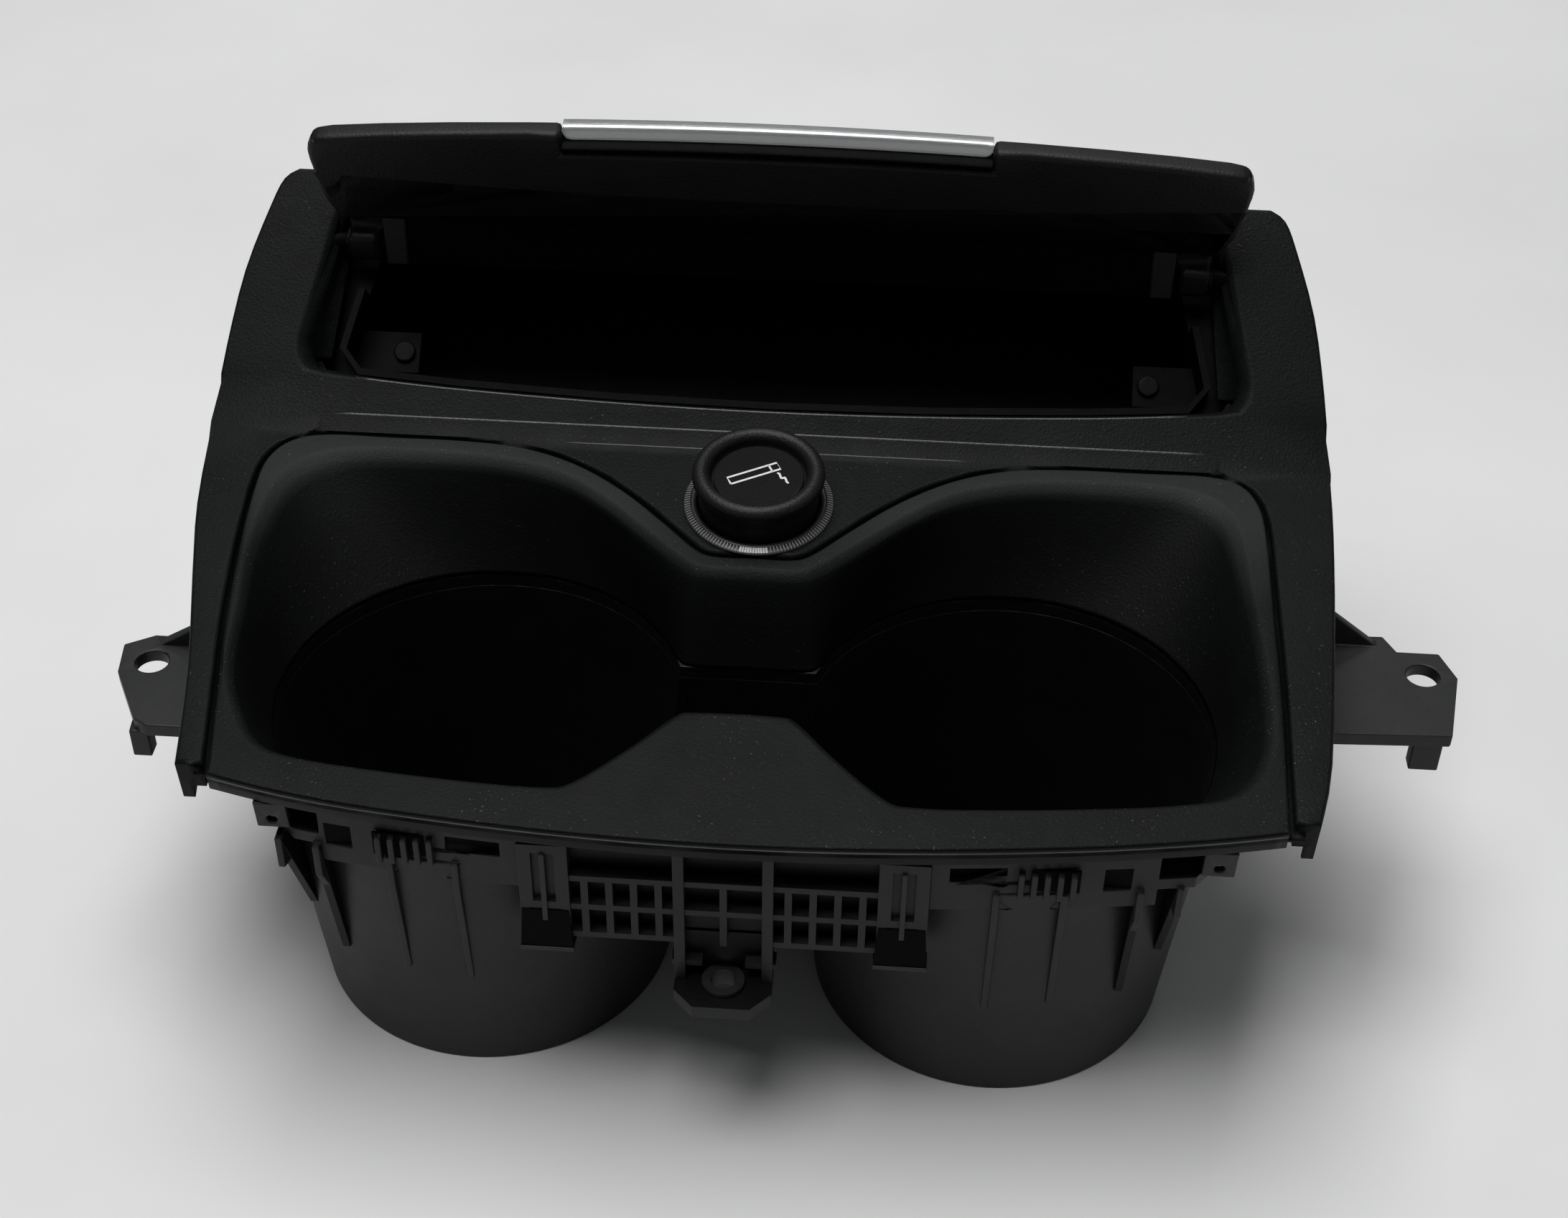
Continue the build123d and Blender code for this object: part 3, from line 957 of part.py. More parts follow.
for label, piece in (("trim_panel", trim_panel), ("cup_liner", cup_liner), ("deck", deck),
                     ("mat_left", mat_left), ("mat_right", mat_right), ("front_bracket", front_bracket),
                     ("tab_left", tab_left), ("tab_right", tab_right), ("clip_left", clip_left),
                     ("clip_right", clip_right), ("storage_bin", storage_bin), ("lid_shell", lid_shell),
                     ("lid_pan", lid_pan), ("lid_handle", lid_handle), ("pin_left", pin_left),
                     ("pin_right", pin_right), ("bin_screw_left", bin_screw_left),
                     ("bin_screw_right", bin_screw_right), ("trim_screw_left", trim_screw_left),
                     ("trim_screw_right", trim_screw_right), ("light_ring", light_ring),
                     ("lighter_socket", lighter_socket), ("socket_contact", socket_contact),
                     ("socket_terminal", socket_terminal), ("lighter_sleeve", lighter_sleeve),
                     ("lighter_heater", lighter_heater), ("lighter_knob", lighter_knob),
                     ("knob_disc", knob_disc), ("leg_left", leg_left), ("leg_right", leg_right),
                     ("well_left", well_left),
                     ("well_right", well_right), ("well_neck", well_neck)):
    piece.part.label = label
    export_step(piece.part, "parts/" + label + ".step")
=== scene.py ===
"""Looks for the cup holder unit: materials, fine pieces, light and camera, in the CAD frame (metres)."""
import json
import math
import bmesh
import bpy
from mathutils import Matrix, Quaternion, Vector


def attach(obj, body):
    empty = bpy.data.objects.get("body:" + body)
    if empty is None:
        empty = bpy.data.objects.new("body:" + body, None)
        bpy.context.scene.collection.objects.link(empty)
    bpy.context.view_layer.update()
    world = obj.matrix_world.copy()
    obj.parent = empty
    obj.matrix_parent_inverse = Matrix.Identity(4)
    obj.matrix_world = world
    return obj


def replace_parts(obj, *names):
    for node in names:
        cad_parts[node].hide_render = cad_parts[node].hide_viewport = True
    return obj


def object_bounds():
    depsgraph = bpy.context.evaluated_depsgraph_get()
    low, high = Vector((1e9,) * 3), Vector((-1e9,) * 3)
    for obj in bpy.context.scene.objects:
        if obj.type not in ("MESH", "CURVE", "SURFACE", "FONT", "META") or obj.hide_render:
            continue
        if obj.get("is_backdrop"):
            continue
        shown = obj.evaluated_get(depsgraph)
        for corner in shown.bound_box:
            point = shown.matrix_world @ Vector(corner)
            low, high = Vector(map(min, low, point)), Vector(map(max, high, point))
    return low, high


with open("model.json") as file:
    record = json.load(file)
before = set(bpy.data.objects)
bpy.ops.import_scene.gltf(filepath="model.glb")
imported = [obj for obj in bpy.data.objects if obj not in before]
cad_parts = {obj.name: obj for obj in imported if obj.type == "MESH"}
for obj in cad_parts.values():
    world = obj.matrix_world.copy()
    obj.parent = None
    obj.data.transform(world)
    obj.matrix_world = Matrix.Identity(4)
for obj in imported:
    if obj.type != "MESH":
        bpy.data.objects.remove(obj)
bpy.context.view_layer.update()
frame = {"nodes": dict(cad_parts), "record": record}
nodes = frame["nodes"]

# Places shared with the CAD source, in millimetres and radians
MM = 1000.0
MID_X, MID_Y = 6.9, 33.28
FRONT_SLOPE = math.radians(7.0)
FRONT_HEIGHT = 71.8
BEND_V = 51.7
BEND_Y = BEND_V * math.cos(FRONT_SLOPE)
BEND_Z = FRONT_HEIGHT + BEND_V * math.sin(FRONT_SLOPE)
REAR_SLOPE = math.radians(41.25)
HINGE_V, HINGE_DEPTH = 37.3, 2.3
HINGE_Y = BEND_Y + HINGE_V * math.cos(REAR_SLOPE) + HINGE_DEPTH * math.sin(REAR_SLOPE)
HINGE_Z = BEND_Z + HINGE_V * math.sin(REAR_SLOPE) - HINGE_DEPTH * math.cos(REAR_SLOPE)
LID_OPEN = math.radians(122.8)
LID_SLOPE = REAR_SLOPE - LID_OPEN
LID_Y = HINGE_Y - HINGE_V * math.cos(LID_SLOPE) - HINGE_DEPTH * math.sin(LID_SLOPE)
LID_Z = HINGE_Z - HINGE_V * math.sin(LID_SLOPE) + HINGE_DEPTH * math.cos(LID_SLOPE)
SEAT_Z = 57.0
WELL_HALF_PITCH = 46.15
WELL_MOUTH_R = 36.0
WELL_BASE_R = 30.4
WELL_WALL = 2.0
LIGHTER_V = 36.5
BRACKET_HALF = 33.4
BRACKET_Y = -40.0
BRACKET_RECESS_Y = -37.6
POST_W = 8.2
POST_LOW, POST_TOP = 38.6, 60.4
FOOT_TOP_Z = 32.6
SIDES = (("left", -1), ("right", 1))


def at(x, y, z):
    """Point of the model from the CAD source's millimetres."""
    return Vector(((x - MID_X) / MM, (y - MID_Y) / MM, z / MM))


def on_slope(u, v, w, slope, y, z):
    """Point on a sloped face that starts at y and z: u across, v up the slope, w off the face."""
    c, s = math.cos(slope), math.sin(slope)
    return at(u, y + v * c - w * s, z + v * s + w * c)


def on_front(u, v, w=0.0):
    """Point on the front face, with v from the line through the wells."""
    return on_slope(u, v, w, FRONT_SLOPE, 0.0, FRONT_HEIGHT)


def on_rear(u, v, w=0.0):
    """Point on the rear face, with v from the bend."""
    return on_slope(u, v, w, REAR_SLOPE, BEND_Y, BEND_Z)


def on_lid(u, v, w):
    """Point on the open lid's face, with v from the front edge to the hinge."""
    return on_slope(u, v, w, LID_SLOPE, LID_Y, LID_Z)


def skin(bm, rows, closed=False):
    """Faces between neighbouring loops of points, with the end loops filled, or joined where closed."""
    rows = [[bm.verts.new(p) for p in row] for row in rows]
    count = len(rows[0])
    for a, b in zip(rows, rows[1:] + rows[:1] if closed else rows[1:]):
        for i in range(count):
            j = (i + 1) % count
            bm.faces.new((a[i], a[j], b[j], b[i]))
    if not closed:
        bm.faces.new(rows[0][::-1])
        bm.faces.new(rows[-1])


def new_piece(name, bm, body, material, smooth=True):
    """Object from a mesh in the making, riding on a body."""
    mesh = bpy.data.meshes.new(name)
    bmesh.ops.recalc_face_normals(bm, faces=bm.faces)
    bm.to_mesh(mesh)
    bm.free()
    obj = bpy.data.objects.new(name, mesh)
    bpy.context.scene.collection.objects.link(obj)
    for p in mesh.polygons:
        p.use_smooth = smooth
    mesh.materials.append(material)
    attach(obj, body)
    return obj


def weigh_normals(obj, weight, keep_sharp=False):
    """Shading that follows the larger faces."""
    modifier = obj.modifiers.new("normals", "WEIGHTED_NORMAL")
    modifier.weight = weight
    modifier.keep_sharp = keep_sharp


# Material helpers
NOISE_ROUGHNESS = 0.55
MIX_FACTOR, MIX_A, MIX_B, MIX_RESULT = 0, 6, 7, 2


def link(tree, a, b):
    tree.links.new(a, b)


def add(tree, kind, **values):
    """Node with its sockets and settings given by name."""
    n = tree.nodes.new(kind)
    for k, v in values.items():
        if k in n.inputs:
            n.inputs[k].default_value = v
        else:
            setattr(n, k, v)
    return n


def start(name):
    """Material with its shader and a vector that counts millimetres."""
    m = bpy.data.materials.new(name)
    m.use_nodes = True
    tree = m.node_tree
    coord = add(tree, "ShaderNodeTexCoord")
    scale = add(tree, "ShaderNodeVectorMath", operation="SCALE", Scale=MM)
    link(tree, coord.outputs["Object"], scale.inputs[0])
    return m, tree, tree.nodes["Principled BSDF"], scale.outputs[0]


def noise(tree, mm, scale, detail):
    n = add(tree, "ShaderNodeTexNoise", Scale=scale, Detail=detail, Roughness=NOISE_ROUGHNESS)
    link(tree, mm, n.inputs["Vector"])
    return n.outputs["Fac"]


def ramp(tree, fac, low, high, a=0.0, b=1.0):
    """Value that goes from a to b, and no further, as fac goes from low to high."""
    n = add(tree, "ShaderNodeMapRange", **{"From Min": low, "From Max": high, "To Min": a, "To Max": b})
    link(tree, fac, n.inputs["Value"])
    return n.outputs["Result"]


def math_node(tree, op, a, b=None):
    n = add(tree, "ShaderNodeMath", operation=op)
    for i, v in enumerate((a, b)):
        if isinstance(v, (int, float)):
            n.inputs[i].default_value = v
        elif v is not None:
            link(tree, v, n.inputs[i])
    return n.outputs[0]


def product(tree, value, *factors):
    for factor in factors:
        value = math_node(tree, "MULTIPLY", value, factor)
    return value


def mix(tree, fac, a, b):
    """Colour between a and b."""
    n = add(tree, "ShaderNodeMix", data_type="RGBA")
    for key, v in ((MIX_FACTOR, fac), (MIX_A, a), (MIX_B, b)):
        if isinstance(v, tuple):
            n.inputs[key].default_value = (*v, 1.0)
        else:
            link(tree, v, n.inputs[key])
    return n.outputs[MIX_RESULT]


def shade(colour, by):
    return tuple(x * by for x in colour)


def bumps(tree, shader, height, strength, distance):
    """Fine relief in the shading."""
    n = add(tree, "ShaderNodeBump", Strength=strength, Distance=distance)
    link(tree, height, n.inputs["Height"])
    link(tree, n.outputs["Normal"], shader.inputs["Normal"])


def axes(tree, vector):
    """The x, y and z of a vector."""
    n = add(tree, "ShaderNodeSeparateXYZ")
    link(tree, vector, n.inputs[0])
    return n.outputs["X"], n.outputs["Y"], n.outputs["Z"]


def facing(tree):
    """The x, y and z of the surface's normal."""
    return axes(tree, add(tree, "ShaderNodeNewGeometry").outputs["Normal"])


def tilted(tree, y, z, slope):
    """How far y and z reach up a slope and off it."""
    c, s = math.cos(slope), math.sin(slope)
    up = math_node(tree, "ADD", product(tree, y, c), product(tree, z, s))
    off = math_node(tree, "SUBTRACT", product(tree, z, c), product(tree, y, s))
    return up, off


# Materials
# Near-black for painted shade and a paler grey for a painted highlight, laid on through the masks below
PAINTED_SHADE_BLACK = (0.0016, 0.0016, 0.0017)
PAINTED_LIP_HIGHLIGHT = (0.022, 0.023, 0.023)
WORN_EDGE = (0.05, 0.05, 0.051)
DUST = (0.22, 0.215, 0.205)
GRAIN_DEPTH = 0.00018
STREAKS = (0.4, 6.0, 6.0)
STREAK_DEPTH = 0.0001
STREAK_SPREAD = 0.05


def moulded(name, deep, light, rough, dust, spec, wear=0.25, grain=1.6, bump=0.25, painted_shade=None, painted_highlight=None):
    """Grained moulded plastic with slight blotches, light grey dust on what faces up and paler worn edges.

    painted_shade and painted_highlight are masks: functions that give the share of painted shade, a near-black
    colour, or of a painted highlight, a paler colour, at each point.
    """
    m, tree, shader, mm = start(name)
    blotch = noise(tree, mm, 0.045, 4.0)
    fine = noise(tree, mm, grain, 2.0)
    colour = mix(tree, ramp(tree, blotch, 0.35, 0.65), deep, light)
    colour = mix(tree, ramp(tree, fine, 0.3, 0.8, 0.0, 0.35), colour, shade(light, 1.6))
    # Painted shade in near-black and a painted highlight in a paler grey, where the masks say
    if painted_shade:
        colour = mix(tree, painted_shade(tree, mm), colour, PAINTED_SHADE_BLACK)
    if painted_highlight:
        colour = mix(tree, painted_highlight(tree, mm), colour, PAINTED_LIP_HIGHLIGHT)
    pointed = add(tree, "ShaderNodeNewGeometry").outputs["Pointiness"]
    edge = ramp(tree, pointed, 0.52, 0.60, 0.0, wear)
    edge = product(tree, edge, ramp(tree, noise(tree, mm, 0.35, 4.0), 0.4, 0.7))
    colour = mix(tree, edge, colour, WORN_EDGE)
    speck = ramp(tree, noise(tree, mm, 2.3, 1.0), 0.70, 0.78)
    patch = ramp(tree, noise(tree, mm, 0.06, 3.0), 0.42, 0.72)
    up = ramp(tree, facing(tree)[2], 0.2, 0.9)
    colour = mix(tree, product(tree, speck, patch, up, dust), colour, DUST)
    link(tree, colour, shader.inputs["Base Color"])
    sheen = ramp(tree, noise(tree, mm, 0.12, 5.0), 0.3, 0.7, rough - 0.03, rough + 0.04)
    link(tree, sheen, shader.inputs["Roughness"])
    shader.inputs["Specular IOR Level"].default_value = spec
    cells = add(tree, "ShaderNodeTexVoronoi", feature="SMOOTH_F1", Scale=grain * 1.5)
    link(tree, mm, cells.inputs["Vector"])
    height = math_node(tree, "ADD", cells.outputs["Distance"], product(tree, fine, 0.6))
    bumps(tree, shader, height, bump, GRAIN_DEPTH)
    return m


def metal(name, colour, rough, metallic=1.0):
    """Metal or silver paint with fine streaks."""
    m, tree, shader, mm = start(name)
    stretch = add(tree, "ShaderNodeMapping", Scale=STREAKS)
    link(tree, mm, stretch.inputs["Vector"])
    lines = noise(tree, stretch.outputs[0], 1.0, 4.0)
    wide = noise(tree, mm, 0.08, 3.0)
    tone = mix(tree, ramp(tree, lines, 0.3, 0.7), shade(colour, 0.82), colour)
    tone = mix(tree, ramp(tree, wide, 0.4, 0.8, 0.0, 0.25), tone, shade(colour, 0.7))
    link(tree, tone, shader.inputs["Base Color"])
    sheen = ramp(tree, lines, 0.3, 0.7, rough - STREAK_SPREAD, rough + STREAK_SPREAD)
    link(tree, sheen, shader.inputs["Roughness"])
    shader.inputs["Metallic"].default_value = metallic
    bumps(tree, shader, lines, 0.06, STREAK_DEPTH)
    return m


def print_white(name):
    """Worn white print."""
    m, tree, shader, mm = start(name)
    worn = ramp(tree, noise(tree, mm, 3.0, 4.0), 0.25, 0.75)
    link(tree, mix(tree, worn, (0.50, 0.50, 0.49), (0.74, 0.74, 0.72)), shader.inputs["Base Color"])
    link(tree, ramp(tree, worn, 0.0, 1.0, 0.55, 0.7), shader.inputs["Roughness"])
    return m


# Masks for painted shade and a painted highlight, which tell places apart within one material
NECK_HALF_X, NECK_HALF_Y, NECK_LOW = 18.5, 12.6, 29.0
WELL_UNDERSIDE = 1.2
LID_LIP_V, LID_FACE_DEPTH = 22.6, 0.5
FOOT_SKIN = 0.16
OUTWARD = 0.6
CORNER_V, CORNER_DEPTH, CORNER_HALF = 29.0, 1.5, 83.5
BOWL_FRONT_Y = -31.8


def shade_in_wells(tree, mm):
    """Painted shade: one inside the two wells and the neck, nought on their outsides."""
    x, y, z = axes(tree, mm)
    x = math_node(tree, "ABSOLUTE", math_node(tree, "ADD", x, MID_X))
    y = math_node(tree, "ADD", y, MID_Y)
    off = math_node(tree, "SUBTRACT", x, WELL_HALF_PITCH)
    r = math_node(tree, "SQRT", math_node(tree, "ADD", product(tree, off, off), product(tree, y, y)))
    wall = ramp(tree, z, 0.0, SEAT_Z, WELL_BASE_R + WELL_WALL / 2, WELL_MOUTH_R + WELL_WALL / 2)
    well = math_node(tree, "LESS_THAN", r, wall)
    neck = product(tree, math_node(tree, "LESS_THAN", x, NECK_HALF_X),
                   math_node(tree, "LESS_THAN", math_node(tree, "ABSOLUTE", y), NECK_HALF_Y),
                   math_node(tree, "GREATER_THAN", z, NECK_LOW))
    above = math_node(tree, "GREATER_THAN", z, WELL_UNDERSIDE)
    return product(tree, math_node(tree, "MAXIMUM", well, neck), above)


def shade_in_lid(tree, mm):
    """Painted shade: one on the open lid's inner side behind its lip, nought elsewhere."""
    _, y, z = axes(tree, mm)
    y = math_node(tree, "ADD", y, MID_Y - LID_Y)
    v, w = tilted(tree, y, math_node(tree, "SUBTRACT", z, LID_Z), LID_SLOPE)
    return product(tree, math_node(tree, "GREATER_THAN", v, LID_LIP_V),
                   math_node(tree, "LESS_THAN", w, -LID_FACE_DEPTH))


def shade_in_bracket(tree, mm):
    """Painted shade: one in the bracket's recesses and on its foot's upper face, nought on its bars."""
    _, y, z = axes(tree, mm)
    recess = math_node(tree, "GREATER_THAN", y, BRACKET_RECESS_Y - MID_Y)
    from_top = math_node(tree, "ABSOLUTE", math_node(tree, "SUBTRACT", z, FOOT_TOP_Z))
    return math_node(tree, "MAXIMUM", recess, math_node(tree, "LESS_THAN", from_top, FOOT_SKIN))


def shade_in_bin(tree, mm):
    """Painted shade: nought on the bin's outer walls, told by the way they face, and one elsewhere, where the
    plastic is painted near-black.
    """
    x, _, _ = axes(tree, mm)
    normal_x, normal_y, normal_z = facing(tree)
    behind, above = tilted(tree, normal_y, normal_z, REAR_SLOPE)
    below = product(tree, above, -1.0)
    aside = product(tree, math_node(tree, "SIGN", x), normal_x)
    most = math_node(tree, "MAXIMUM", math_node(tree, "MAXIMUM", below, behind), aside)
    return math_node(tree, "LESS_THAN", most, OUTWARD)


def shade_in_hinge_corners(tree, mm):
    """Painted shade: one below the trim's face in the hinge corners of the lid opening, nought elsewhere."""
    x, y, z = axes(tree, mm)
    x = math_node(tree, "ABSOLUTE", math_node(tree, "ADD", x, MID_X))
    y = math_node(tree, "ADD", y, MID_Y - BEND_Y)
    v, w = tilted(tree, y, math_node(tree, "SUBTRACT", z, BEND_Z), REAR_SLOPE)
    return product(tree, math_node(tree, "GREATER_THAN", v, CORNER_V),
                   math_node(tree, "LESS_THAN", w, -CORNER_DEPTH), math_node(tree, "LESS_THAN", x, CORNER_HALF))


def below_front(tree, mm):
    """A point's y in the CAD source and its depth straight below the front face."""
    _, y, z = axes(tree, mm)
    y = math_node(tree, "ADD", y, MID_Y)
    height = math_node(tree, "ADD", product(tree, y, math.tan(FRONT_SLOPE)), FRONT_HEIGHT)
    return y, math_node(tree, "SUBTRACT", height, z)


def highlight_on_rear_lip(tree, mm):
    """Share of painted highlight by which a point lies on the rounded lip behind the two bowls."""
    y, depth = below_front(tree, mm)
    return product(tree, ramp(tree, depth, 1.0, 2.8, 1.0, 0.0), ramp(tree, y, 16.0, 36.0, 0.0, 0.75))


def shade_down_bowl(tree, mm):
    """Share of painted shade by which a point of the liner lies down in its bowl, darker further down."""
    y, depth = below_front(tree, mm)
    return product(tree, ramp(tree, depth, 1.0, 9.0, 0.0, 0.5), math_node(tree, "GREATER_THAN", y, BOWL_FRONT_Y))


TRIM = moulded("trim_plastic", (0.0028, 0.0031, 0.0031), (0.0044, 0.0048, 0.0048),
               rough=0.50, dust=0.45, wear=0.10, bump=0.3, spec=0.072, painted_shade=shade_in_hinge_corners)
LINER = moulded("liner_plastic", (0.0026, 0.0029, 0.0029), (0.0042, 0.0046, 0.0046),
                rough=0.54, dust=0.50, wear=0.10, bump=0.28, spec=0.085, painted_shade=shade_down_bowl, painted_highlight=highlight_on_rear_lip)
# Darker copy of the liner plastic that paints shade on the liner's outer edge and on the skirt under its front rim
SKIRT_SHADE = moulded("skirt_shaded_plastic", (0.0010, 0.0011, 0.0011), (0.0018, 0.0019, 0.0019),
                rough=0.36, dust=0.05, wear=0.03, bump=0.08, spec=0.10)
CARRIER = moulded("carrier_plastic", (0.0106, 0.0113, 0.0108), (0.0146, 0.0155, 0.0148),
                  rough=0.50, dust=0.10, wear=0.10, grain=0.9, bump=0.12, spec=0.26, painted_shade=shade_in_wells)
FRAME_BLACK = moulded("bracket_plastic", (0.0098, 0.0104, 0.0101), (0.0142, 0.0150, 0.0145),
                      rough=0.44, dust=0.10, wear=0.12, grain=0.9, bump=0.10, spec=0.26)
BRACKET = moulded("front_bracket_plastic", (0.0098, 0.0104, 0.0101), (0.0142, 0.0150, 0.0145),
                  rough=0.44, dust=0.08, wear=0.12, grain=0.9, bump=0.10, spec=0.22, painted_shade=shade_in_bracket)
# Darker copy of the carrier plastic that paints shade on the gusset fins
FIN_SHADE = moulded("fin_shaded_plastic", (0.0024, 0.0026, 0.0025), (0.0040, 0.0043, 0.0042),
              rough=0.46, dust=0.05, wear=0.06, grain=0.9, bump=0.10, spec=0.14)
BIN = moulded("bin_plastic", (0.0006, 0.0006, 0.0007), (0.0011, 0.0011, 0.0012),
              rough=0.62, dust=0.03, wear=0.02, spec=0.05)
# Bin plastic with painted shade: near-black inside, lighter on the outer walls
BIN_SHELL = moulded("bin_shell_plastic", (0.0080, 0.0085, 0.0082), (0.0118, 0.0125, 0.0121),
                    rough=0.55, dust=0.05, wear=0.05, grain=0.9, bump=0.12, spec=0.05, painted_shade=shade_in_bin)
LID = moulded("lid_plastic", (0.0030, 0.0032, 0.0032), (0.0046, 0.0049, 0.0049),
              rough=0.48, dust=0.12, wear=0.06, spec=0.20, painted_shade=shade_in_lid)
MAT = moulded("mat_rubber", (0.0020, 0.0020, 0.0021), (0.0034, 0.0034, 0.0035),
              rough=0.78, dust=0.3, bump=0.4, spec=0.15)
KNOB = moulded("knob_plastic", (0.0036, 0.0037, 0.0038), (0.0056, 0.0057, 0.0058),
               rough=0.50, dust=0.20, bump=0.35, spec=0.26)
DISC = moulded("disc_plastic", (0.0030, 0.0030, 0.0031), (0.0044, 0.0044, 0.0045),
               rough=0.60, dust=0.10, bump=0.2, spec=0.08)
RIDGE = moulded("ridge_plastic", (0.110, 0.112, 0.112), (0.150, 0.152, 0.152),
                rough=0.36, dust=0.1, bump=0.05, spec=0.5)
# Far paler than the trim: painted highlight along the raised lines of the crease and the lid opening
CREASE_HIGHLIGHT = moulded("crease_highlight_plastic", (0.018, 0.019, 0.0195), (0.028, 0.029, 0.030),
                 rough=0.40, dust=0.3, bump=0.3, spec=0.40)
# Paler still, in patches: painted highlight along the raised line of the liner's front rim
RIM_HIGHLIGHT = moulded("rim_highlight_plastic", (0.030, 0.031, 0.032), (0.080, 0.082, 0.084),
                rough=0.28, dust=0.2, bump=0.1, spec=0.5)
RING = moulded("ring_plastic", (0.008, 0.0083, 0.0083), (0.013, 0.0134, 0.0134),
               rough=0.38, dust=0.15, bump=0.1, spec=0.45)
SILVER = metal("satin_silver", (0.45, 0.455, 0.46), 0.32, metallic=0.55)
STEEL = metal("satin_steel", (0.55, 0.55, 0.56), 0.30)
BLACK_STEEL = moulded("blackened_steel", (0.0012, 0.0012, 0.0013), (0.0020, 0.0020, 0.0021),
                      rough=0.5, dust=0.05, wear=0.05, bump=0.1, spec=0.08)
ARM_GREY = moulded("arm_plastic", (0.009, 0.009, 0.0088), (0.013, 0.013, 0.0126),
                   rough=0.5, dust=0.1, wear=0.05, spec=0.3)
BRASS = metal("satin_brass", (0.72, 0.53, 0.24), 0.30)
WHITE = print_white("white_print")

BY_SLOT = {"trim": TRIM, "liner": LINER, "carrier": CARRIER, "mat": MAT, "bin": BIN, "lid": LID, "bright": SILVER,
           "steel": STEEL, "brass": BRASS, "ring": RING, "knob": KNOB, "disc": DISC}
BY_NODE = {"front_bracket": BRACKET, "storage_bin": BIN_SHELL}
for side_name, _ in SIDES:
    for part, material in (("tab", FRAME_BLACK), ("clip", FRAME_BLACK), ("leg", FRAME_BLACK),
                           ("bin_screw", BLACK_STEEL), ("pin", BIN)):
        BY_NODE[f"{part}_{side_name}"] = material

# CAD nodes keep their shape and get a material, and most get slightly rounded edges and smooth normals
ROUNDING = {"trim_panel": 0.0007, "lid_shell": 0.0012, "deck": 0.0002, "front_bracket": 0.0, "lid_handle": 0.0002,
            "storage_bin": 0.0, "tab_left": 0.0003, "tab_right": 0.0003, "clip_left": 0.00025, "clip_right": 0.00025,
            "socket_terminal": 0.0001, "lighter_sleeve": 0.0001, "lighter_socket": 0.0002, "lighter_heater": 0.0001,
            "knob_disc": 0.0002, "mat_left": 0.0002, "mat_right": 0.0002}
ROUNDING_ELSE = 0.0003
ROUNDING_ANGLE = math.radians(35)
ROUNDING_SEGMENTS = 2
WELD_GAP = 2e-6
FLAT_ANGLE = math.radians(0.4)
NODE_NORMAL_WEIGHT = 100
PIECE_NORMAL_WEIGHT = 60
FACE_GAP = 0.06
BEND_CLEAR = 3.0


def on_top(co):
    """True for a point on the trim's two upper faces, a little away from the bend."""
    y, z = co.y * MM + MID_Y, co.z * MM
    front = (z - FRONT_HEIGHT) * math.cos(FRONT_SLOPE) - y * math.sin(FRONT_SLOPE)
    v = (y - BEND_Y) * math.cos(REAR_SLOPE) + (z - BEND_Z) * math.sin(REAR_SLOPE)
    rear = (z - BEND_Z) * math.cos(REAR_SLOPE) - (y - BEND_Y) * math.sin(REAR_SLOPE)
    return (abs(front) < FACE_GAP and y < BEND_Y - BEND_CLEAR) or (abs(rear) < FACE_GAP and v > BEND_CLEAR)


def dress(name, material, round_by, chosen=None):
    """Material and edge rounding for a CAD node, at the chosen points or else at its sharp edges."""
    o = nodes[name]
    o.data.materials.clear()
    o.data.materials.append(material)
    kept = o.data.attributes.get("custom_normal")
    if kept:
        o.data.attributes.remove(kept)
    for p in o.data.polygons:
        p.use_smooth = bool(round_by)
    weld = o.modifiers.new("weld", "WELD")
    weld.merge_threshold = WELD_GAP
    flat = o.modifiers.new("flat", "DECIMATE")
    flat.decimate_type = "DISSOLVE"
    flat.angle_limit = FLAT_ANGLE
    if round_by:
        b = o.modifiers.new("edges", "BEVEL")
        b.width = round_by
        b.segments = ROUNDING_SEGMENTS
        b.use_clamp_overlap = False
        if chosen:
            group = o.vertex_groups.new(name="edges")
            group.add([v.index for v in o.data.vertices if chosen(v.co)], 1.0, "REPLACE")
            b.limit_method = "VGROUP"
            b.vertex_group = "edges"
        else:
            b.limit_method = "ANGLE"
            b.angle_limit = ROUNDING_ANGLE
    tri = o.modifiers.new("triangles", "TRIANGULATE")
    tri.keep_custom_normals = False
    weigh_normals(o, NODE_NORMAL_WEIGHT, keep_sharp=True)


slots = {p["node"]: p["material_slot"] for p in frame["record"]["subparts"]}
for name in nodes:
    material = BY_NODE.get(name, BY_SLOT[slots[name]])
    dress(name, material, ROUNDING.get(name, ROUNDING_ELSE), on_top if name == "trim_panel" else None)


# Cup liner with its rounded lip, in place of the plain solid
def smooth(points, steps, closed=False):
    """Rounded chain through the points."""
    n = len(points)
    ends = [points[-1]] + points + points[:2] if closed else [points[0]] + points + [points[-1]]
    out = []
    for i in range(1, (n if closed else n - 1) + 1):
        p0, p1, p2, p3 = ends[i - 1:i + 3]
        for k in range(steps):
            t = k / steps
            out.append(tuple(0.5 * (2 * b + (c - a) * t + (2 * a - 5 * b + 4 * c - d) * t * t
                                    + (3 * b - a - 3 * c + d) * t * t * t) for a, b, c, d in zip(p0, p1, p2, p3)))
    if not closed:
        out.append(points[-1])
    return out


def shift(points, by, closed=False):
    """Chain moved to its left by a distance."""
    n = len(points)
    out = []
    for i in range(n):
        if closed:
            a, b = points[i - 1], points[(i + 1) % n]
        else:
            a, b = points[max(i - 1, 0)], points[min(i + 1, n - 1)]
        dx, dy = b[0] - a[0], b[1] - a[1]
        size = math.hypot(dx, dy)
        out.append((points[i][0] - dy / size * by, points[i][1] + dx / size * by))
    return out


def around(x):
    """Half the width of the right well's mouth at x."""
    return math.sqrt(max(WELL_MOUTH_R ** 2 - (x - WELL_HALF_PITCH) ** 2, 0.0))


